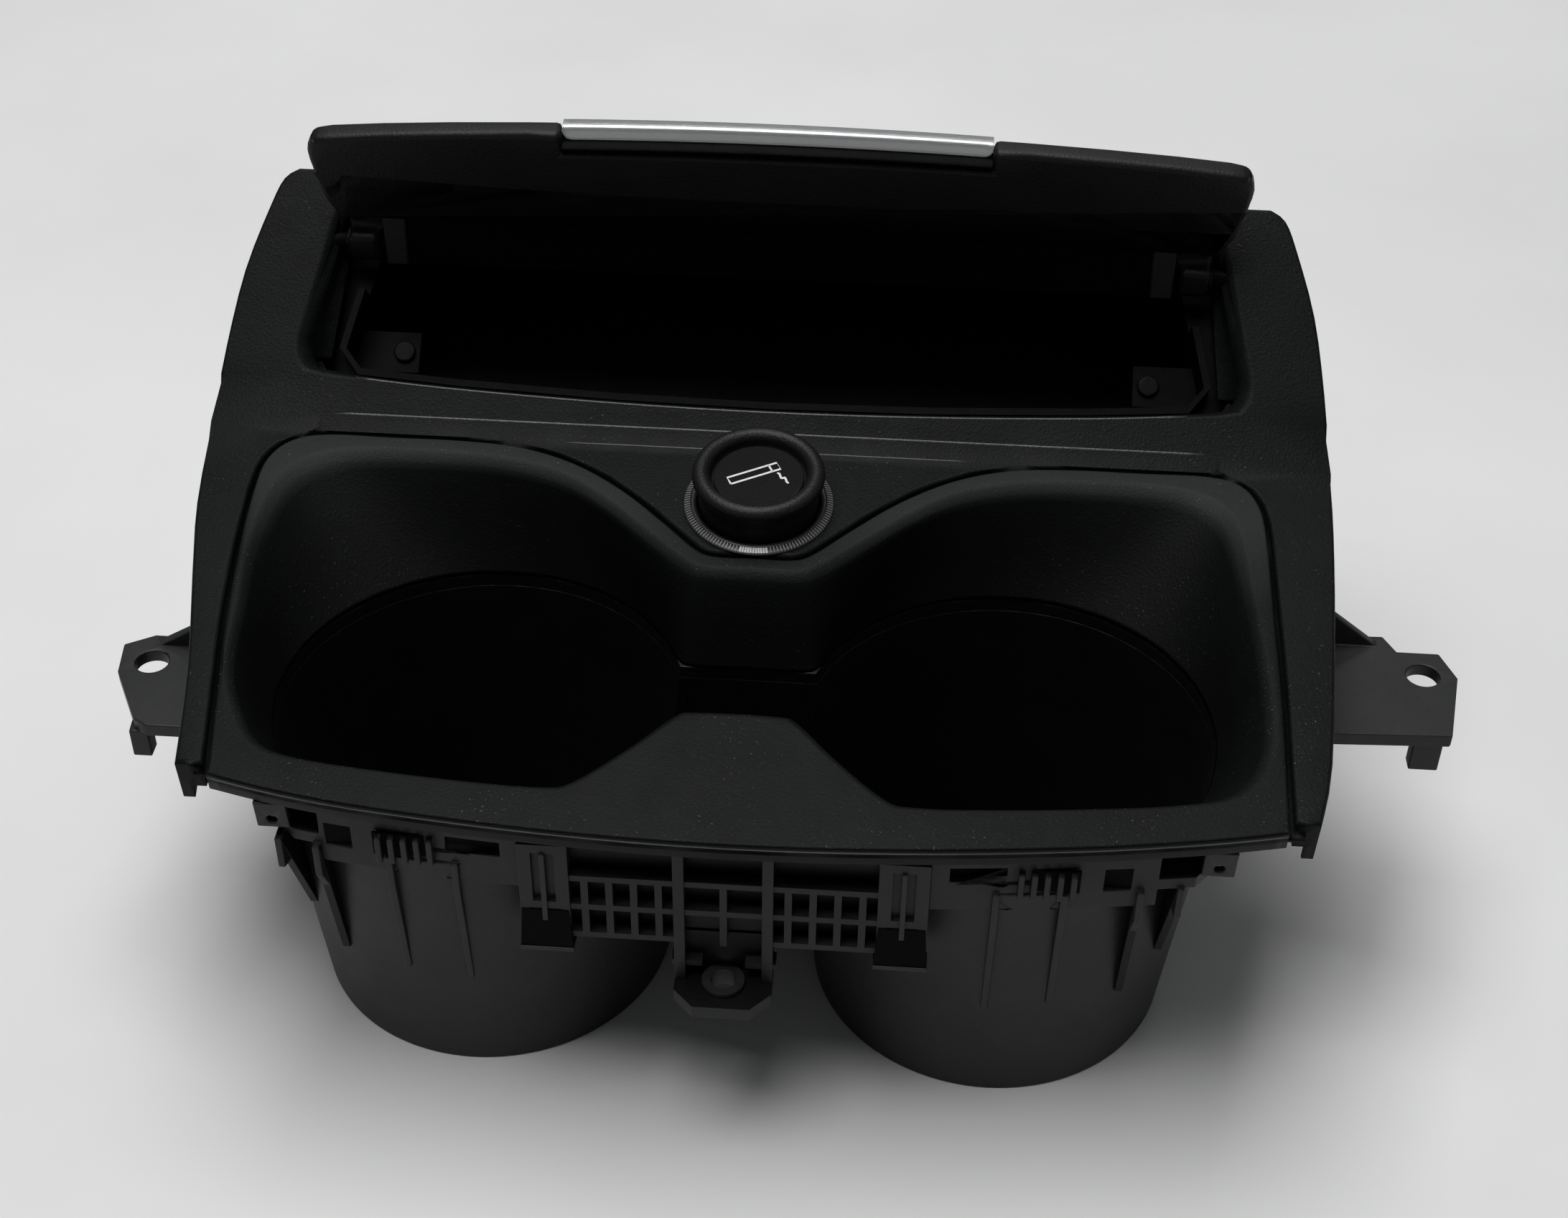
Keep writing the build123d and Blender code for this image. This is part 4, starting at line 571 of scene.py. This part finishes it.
# Outlines in plan: the liner's outer edge, its front rim, and the bowls' upper points with the seat's points below
CURVE_STEPS = 4
EDGE = smooth([
    (-85.3, -31.4), (-87.6, -16.4), (-90.1, 0.0), (-92.0, 19.0), (-92.8, 34.0), (-92.2, 42.5), (-88.6, 48.0),
    (-82.0, 50.2), (-70.0, 50.2), (-56.6, 50.2), (-45.2, 49.1), (-34.8, 45.4), (-25.1, 38.9), (-16.5, 30.8),
    (-10.5, 24.7), (-7.0, 22.9), (0.0, 22.9), (7.0, 22.9), (10.5, 24.7), (16.5, 30.8), (25.1, 38.9), (34.8, 45.4),
    (45.2, 49.1), (56.6, 50.2), (70.0, 50.2), (82.0, 50.2), (88.2, 48.0), (91.2, 42.5), (92.0, 34.0), (91.8, 13.8),
    (91.6, -5.0), (90.8, -25.4), (90.5, -32.4)], CURVE_STEPS)
RIM = smooth([
    (89.9, -33.6), (76.8, -36.1), (56.0, -39.0), (28.0, -41.4), (0.0, -42.3), (-28.0, -41.4), (-56.0, -38.9),
    (-72.0, -36.5), (-84.7, -33.6)], CURVE_STEPS)
PAIRS = [
    ((0.0, 18.7), (0.0, 12.0)), ((8.4, 18.7), (9.0, 12.0)), ((12.8, 20.9), (12.4, 13.2)),
    ((20.5, 27.9), (16.0, around(16.0))), ((29.0, 35.8), (22.0, around(22.0))), ((38.0, 41.8), (30.0, around(30.0))),
    ((50.0, 45.0), (40.0, around(40.0))), ((64.0, 45.6), (52.0, around(52.0))), ((77.0, 45.0), (62.0, around(62.0))),
    ((83.4, 41.6), (70.0, around(70.0))), ((86.0, 35.2), (76.0, around(76.0))), ((87.0, 21.0), (80.4, around(80.4))),
    ((88.0, 5.0), (82.15, 0.0)), ((88.4, -9.0), (80.6, -around(80.6))), ((86.8, -19.0), (77.5, -around(77.5))),
    ((82.0, -25.8), (72.5, -around(72.5))), ((72.0, -28.4), (64.0, -around(64.0))),
    ((56.0, -30.2), (54.0, -around(54.0))), ((41.0, -31.4), (42.0, -around(42.0))),
    ((30.0, -31.8), (31.0, -around(31.0))), ((25.5, -30.6), (23.0, -around(23.0))),
    ((17.0, -22.6), (15.6, -around(15.6))), ((10.4, -15.5), (11.6, -11.0)), ((6.8, -14.1), (7.0, -10.5))]
LEAN = [0.0] * 8 + [-0.8, -1.6, -2.2, -2.2, 0.4, 2.0, 4.0, 3.8, 1.0] + [0.0] * 7
UPPER = [p for p, q in PAIRS] + [(-p[0] + lean, p[1]) for (p, q), lean in list(zip(PAIRS, LEAN))[:0:-1]]
LOWER = [q for p, q in PAIRS] + [(-q[0], q[1]) for p, q in PAIRS[:0:-1]]
LIP_ROUND = 1.43
LIP_TURNS = [math.sin(math.radians(a)) for a in (15, 30, 45, 60, 75)]
LIP_FALL, LIP_BLEND = 0.16, 0.62
BOWL_STEPS = (LIP_FALL, 0.30, 0.45, 0.60, 0.75, 0.88, 0.96, 1.0)
LINER_WALL = 1.8
LINER_PLATE = 2.2
TRIM_GAP = 0.4
EDGE_ROUND = 0.6
EDGE_MIDDLE = EDGE_ROUND * 0.3
SKIRT_TOP, SKIRT_LOW, SKIRT_ROUND = -1.4, -4.2, 0.4


def build_liner():
    upper, lower = smooth(UPPER, CURVE_STEPS, True), smooth(LOWER, CURVE_STEPS, True)
    bm = bmesh.new()

    def ring(points):
        return [bm.verts.new(p) for p in points]

    def level(outline, w=0.0):
        return ring([on_front(x, y, w) for x, y in outline])

    def strip(a, b, closed=True):
        for i in range(len(a) if closed else len(a) - 1):
            j = (i + 1) % len(a)
            bm.faces.new((a[i], a[j], b[j], b[i]))

    def fill(a, b):
        edges = []
        for loop in (a, b):
            for i in range(len(loop)):
                pair = (loop[i], loop[(i + 1) % len(loop)])
                edges.append(bm.edges.get(pair) or bm.edges.new(pair))
        bmesh.ops.triangle_fill(bm, use_beauty=True, edges=edges)

    brow = [on_front(x, y) for x, y in upper]
    seat = [at(x, y, SEAT_Z) for x, y in lower]
    fallen = [a + (b - a) * LIP_FALL for a, b in zip(brow, seat)]
    rows = [level(shift(upper, LIP_ROUND, True))]
    for turn in LIP_TURNS:
        tops = [on_front(x, y) for x, y in shift(upper, LIP_ROUND * (1 - turn), True)]
        rows.append(ring([a.lerp(b, turn ** 2 * LIP_BLEND) for a, b in zip(tops, fallen)]))
    for t in BOWL_STEPS:
        rows.append(ring([a.lerp(b, t) for a, b in zip(brow, seat)]))
    for a, b in zip(rows, rows[1:]):
        strip(a, b)
    back_top = level(shift(upper, LINER_WALL, True), -LINER_PLATE)
    back_low = ring([at(x, y, SEAT_Z) for x, y in shift(lower, LINER_WALL, True)])
    strip(rows[-1], back_low)
    strip(back_low, back_top)
    outline = shift(EDGE, -TRIM_GAP) + RIM
    lip0 = level(shift(outline, -EDGE_ROUND, True))
    lip1 = level(shift(outline, -EDGE_MIDDLE, True), -EDGE_MIDDLE)
    lip2 = level(outline, -EDGE_ROUND)
    lip3 = level(outline, -LINER_PLATE)
    strip(lip0, lip1)
    fill(lip0, rows[0])
    fill(lip3, back_top)
    inner = shift(RIM, -LINER_WALL)
    skirt = [level(RIM, SKIRT_TOP), level(RIM, SKIRT_LOW + SKIRT_ROUND), level(shift(RIM, -SKIRT_ROUND), SKIRT_LOW),
             level(inner, SKIRT_LOW), level(inner, SKIRT_TOP)]
    # The lip's edge and the skirt, all made from here on, have the darker material, which paints shade on them
    lip_faces = len(bm.faces)
    strip(lip1, lip2)
    strip(lip2, lip3)
    for a, b in zip(skirt, skirt[1:]):
        strip(a, b, False)
    for end in (0, -1):
        bm.faces.new([row[end] for row in skirt])
    bm.faces.ensure_lookup_table()
    for face in bm.faces[lip_faces:]:
        face.material_index = 1
    o = new_piece("liner_shell", bm, "base", LINER)
    o.data.materials.append(SKIRT_SHADE)
    weigh_normals(o, PIECE_NORMAL_WEIGHT)
    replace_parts(o, "cup_liner")


build_liner()

# Lighter ring with fine ridges, knob with its soft rim, and the pictogram, as radius and height off the front face
LATHE_STEPS = 96
RING_PROFILE = [(11.35, -8.0), (11.35, 0.55), (11.6, 0.85), (12.0, 0.9), (12.35, 0.88), (12.42, 0.70), (13.3, 0.42),
                (13.65, 0.22), (13.75, 0.02), (12.5, 0.0), (12.5, -8.0)]
RIDGES = 132
RIDGE_PITCH = 2 * math.pi / RIDGES
RIDGE_HALF, RIDGE_TAPER = RIDGE_PITCH * 0.26, 0.6
RIDGE_LOW, RIDGE_HIGH = ((12.46, 0.60), (13.6, 0.22)), ((12.46, 0.86), (13.45, 0.52))
MARK_BARS = 5
MARK_PITCH = math.radians(2.05)
MARK_HALF = MARK_PITCH * 0.36
MARK_LOW, MARK_HIGH = ((12.55, 0.66), (13.52, 0.30)), ((12.55, 0.90), (13.52, 0.57))
KNOB_SIDE = [(0.01, -10.4), (9.0, -10.4), (9.0, -1.0), (10.7, -1.0), (10.9, -0.8), (10.9, 3.6), (10.82, 4.6),
             (10.75, 5.4)]
KNOB_RIM_R, KNOB_RIM_W, KNOB_RIM_ROUND = 10.4, 7.1, 1.6
KNOB_RIM_ARC = [math.radians(-62 + 15 * k) for k in range(17)]
KNOB_DISH = [(8.75, 6.5), (8.6, 6.0), (8.3, 5.8), (0.01, 5.8)]
PRINT_LOW, PRINT_HIGH = 6.52, 6.67
PRINT_BOX = [(-4.78, -2.39), (-5.62, -0.81), (2.98, 3.79), (3.82, 2.21), (-4.78, -2.39)]
PRINT_BAR = [(1.55, 3.02), (2.39, 1.44)]
PRINT_WAVE = [(3.3 + 0.17 * k, 0.9 - 0.16 * k + 0.40 * math.sin(k * 0.95)) for k in range(14)]


def lighter_point(r, angle, w):
    return on_front(r * math.cos(angle), LIGHTER_V + r * math.sin(angle), w)


def lathe(name, profile, body, material, closed=True):
    """Solid turned about the lighter's axis."""
    bm = bmesh.new()
    angles = [2 * math.pi * k / LATHE_STEPS for k in range(LATHE_STEPS)]
    skin(bm, [[lighter_point(r, a, w) for a in angles] for r, w in profile], closed)
    return new_piece(name, bm, body, material)


def across_ring(angle, half, inner, outer):
    """Four corners of a patch that runs out across the ring."""
    return [lighter_point(r, angle + s * half, w) for s, (r, w) in
            ((-1, inner), (-1, outer), (1, outer), (1, inner))]


ring = lathe("ring_body", RING_PROFILE, "base", RING)
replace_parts(ring, "light_ring")
bm = bmesh.new()
for k in range(RIDGES):
    skin(bm, [across_ring(k * RIDGE_PITCH, RIDGE_HALF, *RIDGE_LOW),
              across_ring(k * RIDGE_PITCH, RIDGE_HALF * RIDGE_TAPER, *RIDGE_HIGH)])
new_piece("ring_ridges", bm, "base", RIDGE, smooth=False)
bm = bmesh.new()
for k in range(-MARK_BARS, MARK_BARS + 1):
    skin(bm, [across_ring(k * MARK_PITCH - math.pi / 2, MARK_HALF, *patch) for patch in (MARK_LOW, MARK_HIGH)])
new_piece("ring_mark", bm, "base", WHITE, smooth=False)

knob_rim = [(KNOB_RIM_R + KNOB_RIM_ROUND * math.cos(a), KNOB_RIM_W + KNOB_RIM_ROUND * math.sin(a))
            for a in KNOB_RIM_ARC]
knob = lathe("knob_body", KNOB_SIDE + knob_rim + KNOB_DISH, "knob", KNOB, closed=False)
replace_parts(knob, "lighter_knob")


def stroke(bm, points, width):
    """Thin raised line along points on the knob's disc."""
    skin(bm, [[on_front(x, LIGHTER_V + y, w) for (x, y), w in
               ((a, PRINT_LOW), (a, PRINT_HIGH), (b, PRINT_HIGH), (b, PRINT_LOW))]
              for a, b in zip(shift(points, width / 2), shift(points, -width / 2))])


bm = bmesh.new()
for points, width in ((PRINT_BOX, 0.42), (PRINT_BAR, 0.36), (PRINT_WAVE, 0.40)):
    stroke(bm, points, width)
new_piece("pictogram", bm, "knob", WHITE, smooth=False)

# Fine raised lines along the crease, the front edge of the lid opening and the liner's front rim, coloured paler
# than the plastic around them as painted highlights
BEAD_ARC = [math.radians(a) for a in (-90, -50, -18, 18, 50, 90)]
BEAD_SUNK = 0.04
OPENING_FRONT = smooth([(-78.0, 10.0), (-60.0, 8.7), (-30.0, 7.44), (0.0, 7.0), (30.0, 7.44), (60.0, 8.7),
                        (78.0, 10.0)], CURVE_STEPS)
RIM_LEAN = 0.35
CREASE_V, CREASE_LOW_V = 2.6, 50.55
OPENING_GAP = 0.35
RIM_LINE_DEPTH = 1.0


def bead(name, path, across, out, half=0.28, rise=0.12, material=CREASE_HIGHLIGHT):
    """Low rounded line along points, falling away at its ends."""
    bm = bmesh.new()
    rows = []
    for k, p in enumerate(path):
        full = min(1.0, 0.15 + 0.45 * min(k, len(path) - 1 - k))
        rows.append([p + across * (half * math.sin(t) / MM) + out * ((rise * full * math.cos(t) - BEAD_SUNK) / MM)
                     for t in BEAD_ARC])
    skin(bm, rows)
    new_piece(name, bm, "base", material)


up_rear = (on_rear(0, 0, 1) - on_rear(0, 0, 0)).normalized()
along_rear = (on_rear(0, 1, 0) - on_rear(0, 0, 0)).normalized()
up_front = (on_front(0, 0, 1) - on_front(0, 0, 0)).normalized()
along_front = (on_front(0, 1, 0) - on_front(0, 0, 0)).normalized()
bead("crease_line", [on_rear(x, CREASE_V) for x in range(-84, 85, 6)], along_rear, up_rear)
bead("crease_line_low", [on_front(x, CREASE_LOW_V) for x in range(-42, 43, 6)], along_front, up_front, 0.2, 0.09)
bead("opening_line", [on_rear(x, v - OPENING_GAP) for x, v in OPENING_FRONT], along_rear, up_rear, 0.24, 0.10)
rim_out = (-along_front + up_front * RIM_LEAN).normalized()
rim_up = (up_front + along_front * RIM_LEAN).normalized()
bead("rim_line", [on_front(x, v, -RIM_LINE_DEPTH) for x, v in RIM], rim_up, rim_out, 0.16, 0.12, RIM_HIGHLIGHT)


def prism(name, near, far, material, round_by=0.00012):
    """Solid on the base between two outlines of the same number of points, with softened edges."""
    bm = bmesh.new()
    skin(bm, [near, far])
    o = new_piece(name, bm, "base", material, smooth=False)
    edges = o.modifiers.new("edges", "BEVEL")
    edges.width = round_by
    edges.segments = ROUNDING_SEGMENTS


def upright(side, x0, x1, z0, z1, y):
    """Four corners of an upright rectangle that faces the front."""
    return [at(side * x, y, z) for x, z in ((x0, z0), (x1, z0), (x1, z1), (x0, z1))]


# Long gusset fins that run from the apron's outer ribs down the sides of the wells: x, reach to the front, low end
FINS = (("outer", 74.2, 34.6, 27.0), ("inner", 67.6, 36.0, 22.5))
FIN_TOP, FIN_ROOT_Z = 54.2, 54.0
FIN_HALF, FIN_SUNK, FIN_TOE = 0.7, 1.2, 0.9


def well_front(x, z):
    """Y of the front of the right well's outside."""
    r = WELL_BASE_R + WELL_WALL + z * (WELL_MOUTH_R - WELL_BASE_R) / SEAT_Z
    return -math.sqrt(r ** 2 - (x - WELL_HALF_PITCH) ** 2)


for side_name, side in SIDES:
    for fin_name, x, reach, low in FINS:
        toe = well_front(x, low)
        outline = [(well_front(x, FIN_ROOT_Z) + FIN_SUNK, FIN_TOP), (-reach, FIN_TOP), (toe - FIN_TOE, low),
                   (toe + FIN_SUNK, low)]
        near, far = [[at(side * x + t, y, z) for y, z in outline] for t in (-FIN_HALF, FIN_HALF)]
        # The fins get the darker plastic that paints their shade
        prism(f"fin_{side_name}_{fin_name}", near, far, FIN_SHADE)

# Near-black plates that paint the shade in the hollows behind the apron's windows and combs: two limits in x, two in
# z, and the y of the back
SHADE_PLATES = (("window", 61.4, 66.1, 54.7, 59.7, -34.45), ("slot", 36.4, 45.6, 57.3, 60.5, -36.45),
           ("comb", 46.7, 57.6, 55.2, 60.2, -36.75))
SHADE_PLATE_DEPTH = 0.4
for side_name, side in SIDES:
    for hollow_name, x0, x1, z0, z1, back in SHADE_PLATES:
        near, far = [upright(side, x0, x1, z0, z1, y) for y in (back - SHADE_PLATE_DEPTH, back)]
        prism(f"{hollow_name}_{side_name}", near, far, BIN, 0.0001)

# Near-black plates that paint the shade in pockets at the feet of the bracket's posts, each with a lighter lower
# edge and a rib above it
POST_INNER = BRACKET_HALF - POST_W
POST_MIDDLE = (POST_INNER + BRACKET_HALF) / 2
POCKET_LOW, POCKET_TOP = POST_LOW + 0.7, 47.6
POCKET_FACES = ((-0.7, 0.3), (3.0, 0.1))
POCKET_INSET, POCKET_LEAN = 0.2, 0.5
EDGE_OVER, EDGE_TOP = 0.4, POST_LOW + 0.8
RIB_HALF, RIB_LOW = 0.45, 45.4
for side_name, side in SIDES:
    pocket_shade = [[at(side * x, BRACKET_Y + y, z) for x, y, z in
               ((POST_INNER - over, step, POCKET_LOW), (BRACKET_HALF + over, step, POCKET_LOW),
                (BRACKET_HALF - POCKET_INSET, step + POCKET_LEAN, POCKET_TOP),
                (POST_INNER + POCKET_INSET, step + POCKET_LEAN, POCKET_TOP))] for step, over in POCKET_FACES]
    prism(f"post_pocket_shade_{side_name}", *pocket_shade, BIN)
    edge = [upright(side, POST_INNER - EDGE_OVER, BRACKET_HALF + EDGE_OVER, POST_LOW, EDGE_TOP, BRACKET_Y + y)
            for y in (-0.9, 3.0)]
    prism(f"post_edge_{side_name}", *edge, FRAME_BLACK)
    rib = [upright(side, POST_MIDDLE - RIB_HALF, POST_MIDDLE + RIB_HALF, RIB_LOW, POST_TOP, BRACKET_Y + y)
           for y in (-0.5, 1.4)]
    prism(f"post_rib_{side_name}", *rib, FRAME_BLACK)

# Silver strip with a rounded front edge along the lid's front, and a near-black seat below it that paints the shade
# under the strip
STRIP_HALF = 39.2
STRIP_END = 1.8
STRIP_STEPS = 24
STRIP_TIP = 0.12
STRIP_LOOP = [(0.0, 0.3), (0.0, -1.3), (0.1, -1.75), (0.35, -2.05), (0.8, -2.25), (1.4, -2.4), (1.95, -2.52),
              (2.3, -2.62), (2.45, -2.85), (2.45, 0.3)]
SEAT_SHADE_LOOP = [(2.55, 0.1), (2.55, -4.6), (4.2, -4.6), (4.2, 0.1)]
LID_FRONT_V, LID_BOW, LID_HALF = 8.32, 3.0, 78.0


def along_lid(name, loop, end, material):
    """Solid swept along the lid's bowed front edge, narrowed towards its ends where an end length is given."""
    bm = bmesh.new()
    rows = []
    for k in range(-STRIP_STEPS, STRIP_STEPS + 1):
        x = STRIP_HALF * math.sin(math.pi / 2 * k / STRIP_STEPS)
        front = LID_FRONT_V + LID_BOW * (x / LID_HALF) ** 2
        share = 1.0
        if end:
            over = max(0.0, abs(x) - STRIP_HALF + end) / end
            share = STRIP_TIP + (1.0 - STRIP_TIP) * math.sqrt(max(0.0, 1.0 - over ** 2))
        rows.append([on_lid(x, front + v * share, w) for v, w in loop])
    skin(bm, rows)
    o = new_piece(name, bm, "lid", material)
    weigh_normals(o, PIECE_NORMAL_WEIGHT)
    return o


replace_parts(along_lid("handle_strip", STRIP_LOOP, STRIP_END, SILVER), "lid_handle")
along_lid("handle_seat_shade", SEAT_SHADE_LOOP, 0.0, BIN)

# Pale guide bars on the lid's inner pan, with their last layer drawn in a little
ARM_LAYERS = ((0.0, -3.3), (0.0, -3.9), (0.25, -4.1))
ARM_CORNERS = ((74.6, 29.0, -1, 1), (74.9, 41.2, -1, -1), (70.9, 41.2, 1, -1), (70.2, 29.0, 1, 1))
for side_name, side in SIDES:
    bm = bmesh.new()
    skin(bm, [[on_lid(side * (u + inset * in_u), v + inset * in_v, w) for u, v, in_u, in_v in ARM_CORNERS]
              for inset, w in ARM_LAYERS])
    new_piece(f"lid_arm_{side_name}", bm, "lid", ARM_GREY, smooth=False)

# Floor
FLOOR_HALF, FLOOR_Z = 4.0, -0.0001
floor_mesh = bpy.data.meshes.new("floor")
floor_mesh.from_pydata([(x * FLOOR_HALF, y * FLOOR_HALF, FLOOR_Z) for x, y in ((-1, -1), (1, -1), (1, 1), (-1, 1))],
                       [], [(0, 1, 2, 3)])
floor = bpy.data.objects.new("floor", floor_mesh)
bpy.context.scene.collection.objects.link(floor)
m, tree, shader, mm = start("pale_floor")
tone = mix(tree, ramp(tree, noise(tree, mm, 0.006, 5.0), 0.3, 0.7), (0.60, 0.605, 0.60), (0.66, 0.665, 0.66))
link(tree, tone, shader.inputs["Base Color"])
shader.inputs["Roughness"].default_value = 0.75
floor_mesh.materials.append(m)
floor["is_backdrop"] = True

# Light
world = bpy.data.worlds.new("studio")
bpy.context.scene.world = world
world.use_nodes = True
background = world.node_tree.nodes["Background"]
background.inputs["Color"].default_value = (0.95, 0.97, 1.0, 1.0)
background.inputs["Strength"].default_value = 0.075


def softbox(name, place, aim, size, power):
    data = bpy.data.lights.new(name, "AREA")
    data.shape = "RECTANGLE"
    data.size, data.size_y = size
    data.energy = power
    o = bpy.data.objects.new(name, data)
    bpy.context.scene.collection.objects.link(o)
    o.location = place
    o.rotation_mode = "QUATERNION"
    o.rotation_quaternion = (Vector(aim) - Vector(place)).to_track_quat("-Z", "Y")


softbox("key", (-0.18, 0.05, 1.55), (0, 0, 0.05), (1.4, 0.9), 29.0)
softbox("front", (0.10, -1.60, 1.25), (0, 0, 0.03), (1.8, 0.8), 0.5)
softbox("rim", (0.0, 1.35, 1.05), (0, 0, 0.08), (1.4, 0.14), 2.2)
softbox("side", (1.5, 0.0, 0.9), (0, 0, 0.05), (0.8, 0.8), 1.0)

# Camera at the photograph's view: focal length and width in its pixels, place of the aim in millimetres
FOCAL_PIXELS, PHOTO_WIDTH = 3200.0, 2184.0
SENSOR = 36.0
VIEW_TURN, VIEW_RISE, VIEW_ROLL = math.radians(3.27), math.radians(38.91), math.radians(0.88)
VIEW_AIM = (4.75, 38.52, 50.0)
VIEW_DISTANCE = 0.4356
camera = bpy.data.cameras.new("camera")
camera.sensor_width = SENSOR
camera.lens = FOCAL_PIXELS * SENSOR / PHOTO_WIDTH
camera.clip_start, camera.clip_end = 0.01, 50.0
eye = bpy.data.objects.new("camera", camera)
bpy.context.scene.collection.objects.link(eye)
back = Vector((math.sin(VIEW_TURN) * math.cos(VIEW_RISE), -math.cos(VIEW_TURN) * math.cos(VIEW_RISE),
               math.sin(VIEW_RISE)))
eye.location = at(*VIEW_AIM) + back * VIEW_DISTANCE
eye.rotation_mode = "QUATERNION"
eye.rotation_quaternion = (-back).to_track_quat("-Z", "Y") @ Quaternion((0, 0, 1), VIEW_ROLL)
bpy.context.scene.camera = eye
bpy.context.scene.view_settings.view_transform = "Standard"

low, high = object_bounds()
